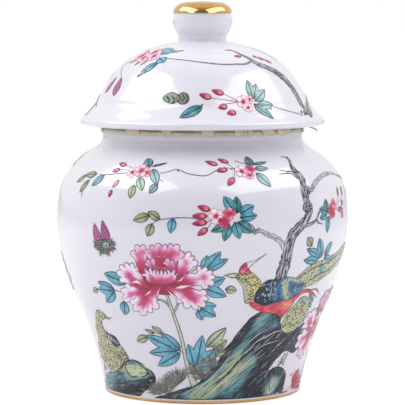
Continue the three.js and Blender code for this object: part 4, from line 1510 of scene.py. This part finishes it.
def paint_back(jar):
    """The back goes on with what the front has: prunus, a rock with a peony, insects, leaves and moss."""
    branch = [(78, 117), (92, 114), (106, 110), (118, 103), (127, 94), (131, 84)]
    line(jar, branch, (1.6, 3.0, 3.2, 2.6, 1.8, 0.6), 0.3, 4, "bark", 0.3)
    bark_strokes(jar, branch, (1.6, 3.0, 3.2, 2.6, 1.8), 40, 51, 0.36)
    each(line, jar,
        ([(96, 113), (103, 119), (112, 122), (122, 122)], (1.6, 1.2, 0.8, 0.4), 0.3, 4, "bark", 0.3),
        ([(110, 108), (118, 110), (128, 109), (136, 112)], (1.6, 1.2, 0.8, 0.4), 0.3, 4, "bark", 0.3))
    for place, radius, tint, turn in (((92, 107), 4.4, 0.8, 10), ((104, 121), 4.0, 0.2, 40),
            ((114, 124), 3.6, 0.5, 20), ((121, 113), 4.4, 0.3, 60), ((127, 108), 3.6, 0.8, 0),
            ((112, 99), 4.2, 0.9, 30), ((126, 93), 4.0, 0.3, 50), ((133, 84), 3.4, 0.7, 70)):
        blossom(jar, *place, radius, tint, turn, 8)
    for base, tip in (((121, 122), (127, 124)), ((134, 112), (140, 114)), ((135, 110), (141, 108)),
            ((132, 82), (136, 76)), ((130, 82), (129, 75)), ((98, 106), (101, 100))):
        bud(jar, *base, *tip, 3.4)
    each(leaf_fan, jar, (97, 111, (250, 290, 320, 210), 10, 5.2, 0.05), (116, 104, (20, 60, 330, 290), 9, 5.0,
        0.3), (129, 90, (150, 190, 230, 20), 9, 5.0, 0.1))
    insect(jar, 152, 103, 70)
    shape(jar, "rocks", BACK_ROCK, 0.05, 1, 1.8, 38, 4, (([(124, 6), (130, 18), (138, 30), (146, 37)], 4.5,
        0.62), ([(150, 6), (160, 14), (172, 20)], 5.0, 0.9), ([(150, 34), (160, 26), (176, 18), (196, 10)],
        3.0, 0.6)))
    slope_strokes(jar, BACK_ROCK, 170, 48, 8, (1.0, 0.0, 1.0, 0.6, 0.93), 52, 4)
    for degrees, height, radius, count, seed in ((122, 18, 6, 36, 61), (130, 32, 6, 36, 62),
            (176, 26, 6, 36, 63), (200, 14, 7, 44, 64), (222, 5, 7, 44, 65), (160, 32, 5, 26, 66)):
        moss(jar, degrees, height, radius, count, 20, 160, seed)
    line(jar, [(172, 74), (170, 58), (166, 44), (162, 28)], (1.2, 2.2, 2.6, 3.0), 0, 3, "stalks")
    each(leaf_fan, jar, (167, 46, (20, 60, 340), 14, 6.0, 0.1), (165, 40, (120, 160, 200), 13, 6.0, 0.12),
        (194, 66, (20, 350, 60, 310), 11, 5.6, 0.12, 4), (152, 68, (140, 170, 210), 11, 5.6, 0.12, 4))
    peony(jar, 174, 78)
    line(jar, [(208, 10), (213, 30), (222, 50), (226, 72), (223, 88)], (2.8, 2.4, 2.0, 1.4, 0.6), 0.4, 4,
        "bark", 0.3)
    for degrees, height, way in ((215, 34, 1), (224, 60, 1), (225, 74, -1)):
        prunus_spray(jar, degrees, height, way, 0.05)
    insect(jar, 252, 100, 110)
    each(prunus_spray, jar, (172, 119, 1, 0.4), (232, 118, -1, 0.1), (240, 121, 1, 0.3), (246, 26, -1, 0.8))


def paint_jar(outline):
    jar = Wall(wall_run(outline, 1.5, 137.0), "jar")
    paint_shoulder_sprays(jar)
    paint_branch_end(jar)
    paint_tree(jar)
    paint_right_blossoms(jar)
    paint_rocks(jar)
    paint_peony_plant(jar)
    insect(jar, -41, 86, 98)
    paint_hen(jar)
    paint_cock(jar)
    paint_side_peonies(jar)
    paint_back(jar)
    return jar


# ------------------------------------------------------------------ the painting on the lid

def paint_lid(outline):
    lid = Wall(wall_run(outline, 147.5, 187.0), "lid")
    for place, turn, tint in (((-44, 181), 10, 0.3), ((-54, 180), 40, 0.2), ((-50, 183), 70, 0.4),
            ((-61, 181), 20, 0.6)):
        blossom(lid, *place, 4.2, tint, turn, 7, 6)
    for base, tip, width in (((-60, 179), (-67, 177), 2.2), ((-52, 179), (-56, 176), 2.0),
            ((-62, 182), (-70, 184), 2.4), ((-46, 179), (-49, 176), 1.8)):
        bud(lid, *base, *tip, width, -0.3)
    each(leaf, lid, (-43, 182, -33, 185, 5.6, 0.25), (-40, 182, -27, 184, 4.8, 0.2),
        (-31, 183, -18, 184, 2.4, 0.85), (-46, 184, -39, 185, 4.4, 0.28), (-37, 180, -29, 178, 6.2, 0.25, 8),
        (-34, 178, -44, 171, 5.0, 0.3), (-40, 174, -45, 170, 2.6, 0.95, 8))
    line(lid, [(-30, 180), (-12, 179), (0, 178), (14, 177), (24, 177), (32, 177)],
        (0.5, 0.7, 0.8, 0.9, 1.2, 1.4), 0.7, 5, "bark")
    run = [(23, 184), (30, 184), (35, 182), (39, 180), (43, 177), (50, 175), (55, 173), (62, 168), (65, 161),
        (66, 154), (67, 149)]
    widths = (0.5, 1.1, 1.7, 2.6, 3.6, 4.0, 4.6, 5.2, 5.2, 5.0, 4.0)
    each(line, lid,
        ([(26, 177), (32, 177), (38, 178), (44, 177)], (1.0, 1.2, 1.4, 1.6), 0.5, 5, "bark", 0.3),
        (run, widths, 0.0, 6, "bark", 0.28))
    bark_strokes(lid, run[4:], widths[4:], 52, 15, 0.5)
    bark_strokes(lid, run[:5], widths[:5], 10, 16, 0.3)
    each(bud, lid, (34, 181, 27, 181, 3.0), (50, 180, 55, 179, 3.2), (55, 179, 60, 177, 2.6),
        (46, 181, 50, 180, 2.4))
    line(lid, [(69, 185), (74, 182), (76, 178)], 0.8, 0.5)
    each(shape, lid,
        ("leaves", [(-22, 160), (-20, 162), (-17, 163), (-14, 162), (-12, 160), (-13, 158), (-16, 157),
         (-20, 158)], 0.88, 5, 1.0),
        ("leaves", [(-14, 161), (-11, 163), (-8, 162), (-7, 159), (-9, 157), (-12, 157), (-14, 159)], 0.98, 6,
         1.0))
    for places in ([(-17, 161), (-15, 159), (-16, 157)], [(-14, 162), (-12, 160), (-13, 158)],
            [(-11, 162), (-10, 160), (-11, 158)], [(-20, 161), (-18, 159), (-18, 158)],
            [(-9, 162), (-8, 160), (-9, 158)]):
        line(lid, places, (0.5, 1.2, 0.5), 0.0, 9, "strokes")
    leaf(lid, 0, 156, -11, 150, 6.4, 0.4)
    line(lid, [(-1, 155), (0, 157)], 0.9, 1.0)
    each(bud, lid, (5, 160, -2, 162, 4.0), (12, 162, 5, 164, 3.8), (13, 156, 8, 155, 3.8),
        (17, 153, 12, 152, 4.2))
    for start in ((5, 160), (12, 162), (12, 157)):
        line(lid, [start, (20, 158)], 0.4, 0.3)
    each(blossom, lid, (22, 158, 4.2, 0.1, 0), (24, 155, 3.2, 0.0, 40), (26, 159, 2.6, 0.3, 60))
    each(leaf, lid, (28, 159, 28, 169, 5.0, 0.66), (29, 158, 38, 164, 5.4, 0.7), (28, 157, 36, 149, 5.4, 0.6),
        (30, 156, 40, 156, 5.4, 0.7), (29, 160, 33, 167, 4.4, 0.74))
    each(line, lid,
        ([(36, 156), (38, 154), (37, 154)], 0.6, 1.0),
        ([(38, 156), (47, 153), (55, 151), (58, 150)], 0.6))
    for place in ((61, 151), (60, 150), (62, 150), (58, 151), (64, 151)):
        dash(lid, *place, 40, 3.4, 1.5, 1.0)
    for base, tip, width, tint in (((-61, 170), (-58, 160), 6.4, 0.2), ((-68, 170), (-72, 161), 5.0, 0.6)):
        heading, length = span(lid, base, tip)
        t = np.linspace(0, 1, 11)
        half = width / 2 * np.sin(math.pi * t ** 1.3) ** 0.7
        lay(lid, "wings", patch(mirrored(half, length * t), 1.0), base, 6, heading, tint=tint)
    line(lid, [(-62, 170), (-70, 174), (-72, 178)], 0.4, 0.35)
    back = [(67, 150), (76, 155), (88, 158), (104, 164), (122, 168), (140, 166), (154, 170)]
    line(lid, back, (2.6, 3.2, 3.0, 2.6, 2.0, 1.2, 0.5), 0.3, 5, "bark", 0.28)
    bark_strokes(lid, back, (2.6, 3.0, 3.0, 2.4, 1.8), 40, 17, 0.34)
    each(prunus_spray, lid, (96, 160, 1, 0.1), (190, 156, 1, 0.3), (284, 154, -1, 0.1), (150, 168, 1, 0.2))
    each(leaf_fan, lid, (120, 170, (40, 80, 130), 7, 4.0, 0.1), (248, 160, (30, 80, 140, 200), 8, 4.6, 0.4))
    each(blossom, lid, (222, 163, 7.0, 0.5, 10, 7, 7), (222, 163, 4.6, 0.9, 40, 9, 6))
    insect(lid, 262, 170, 100, 0.7)
    return lid


def wall_run(outline, low, high):
    """The outside of an outline from its widest place outwards, between two heights in mm."""
    points = np.array(outline)
    widest = int(np.argmax(points[:, 0]))
    first, last = widest, widest
    while points[first - 1, 1] > low * MM and first > 0 and points[first - 1, 1] < points[first, 1]:
        first -= 1
    while last + 1 < len(points) and points[last, 1] < high * MM:
        last += 1
    run = points[first:last + 1]
    return run[np.concatenate([[True], np.diff(run[:, 1]) > 1e-7])]


# ------------------------------------------------------------------ finishing the enamel

def join_enamel(wall):
    """All the cuts of one colour on a wall become one closed piece."""
    for pile, cuts in wall.piles.items():
        name = f"{wall.body}_{pile}"
        firsts = np.cumsum([0] + [len(cut[1]) for cut in cuts])
        corner_firsts = np.cumsum([0] + [len(cut[3].corners) for cut in cuts])
        corners = np.concatenate([cut[3].corners + first for cut, first in zip(cuts, firsts)])
        starts = np.concatenate([cut[3].starts + first for cut, first in zip(cuts, corner_firsts)])
        mesh = bpy.data.meshes.new(name)
        mesh.vertices.add(firsts[-1])
        mesh.vertices.foreach_set("co", np.concatenate([cut[0] for cut in cuts]).ravel())
        mesh.loops.add(len(corners))
        mesh.loops.foreach_set("vertex_index", corners)
        mesh.polygons.add(len(starts))
        mesh.polygons.foreach_set("loop_start", starts)
        mesh.update(calc_edges=True)
        mesh.validate()
        for label, place in (("rim", 1), ("tint", 2)):
            values = np.concatenate([cut[place] for cut in cuts]).astype(np.float32)
            mesh.attributes.new(label, "FLOAT", "POINT").data.foreach_set("value", values)
        pattern = np.concatenate([cut[3].pattern for cut in cuts])[corners].astype(np.float32)
        mesh.uv_layers.new(name="paper").data.foreach_set("uv", pattern.ravel())
        piece = new_piece(name, mesh)
        mesh.materials.append(INKS[pile])
        apply_modifier(piece, "SOLIDIFY", thickness=ENAMEL * MM, offset=-1)
        piece.data.shade_smooth()
        settle(piece, wall.body, "porcelain")


def main():
    set_camera()
    set_studio()
    jar_outline, dome_outline = make_porcelain()
    make_gilding()
    make_tape()
    for wall in (paint_jar(jar_outline), paint_lid(dome_outline)):
        join_enamel(wall)


main()
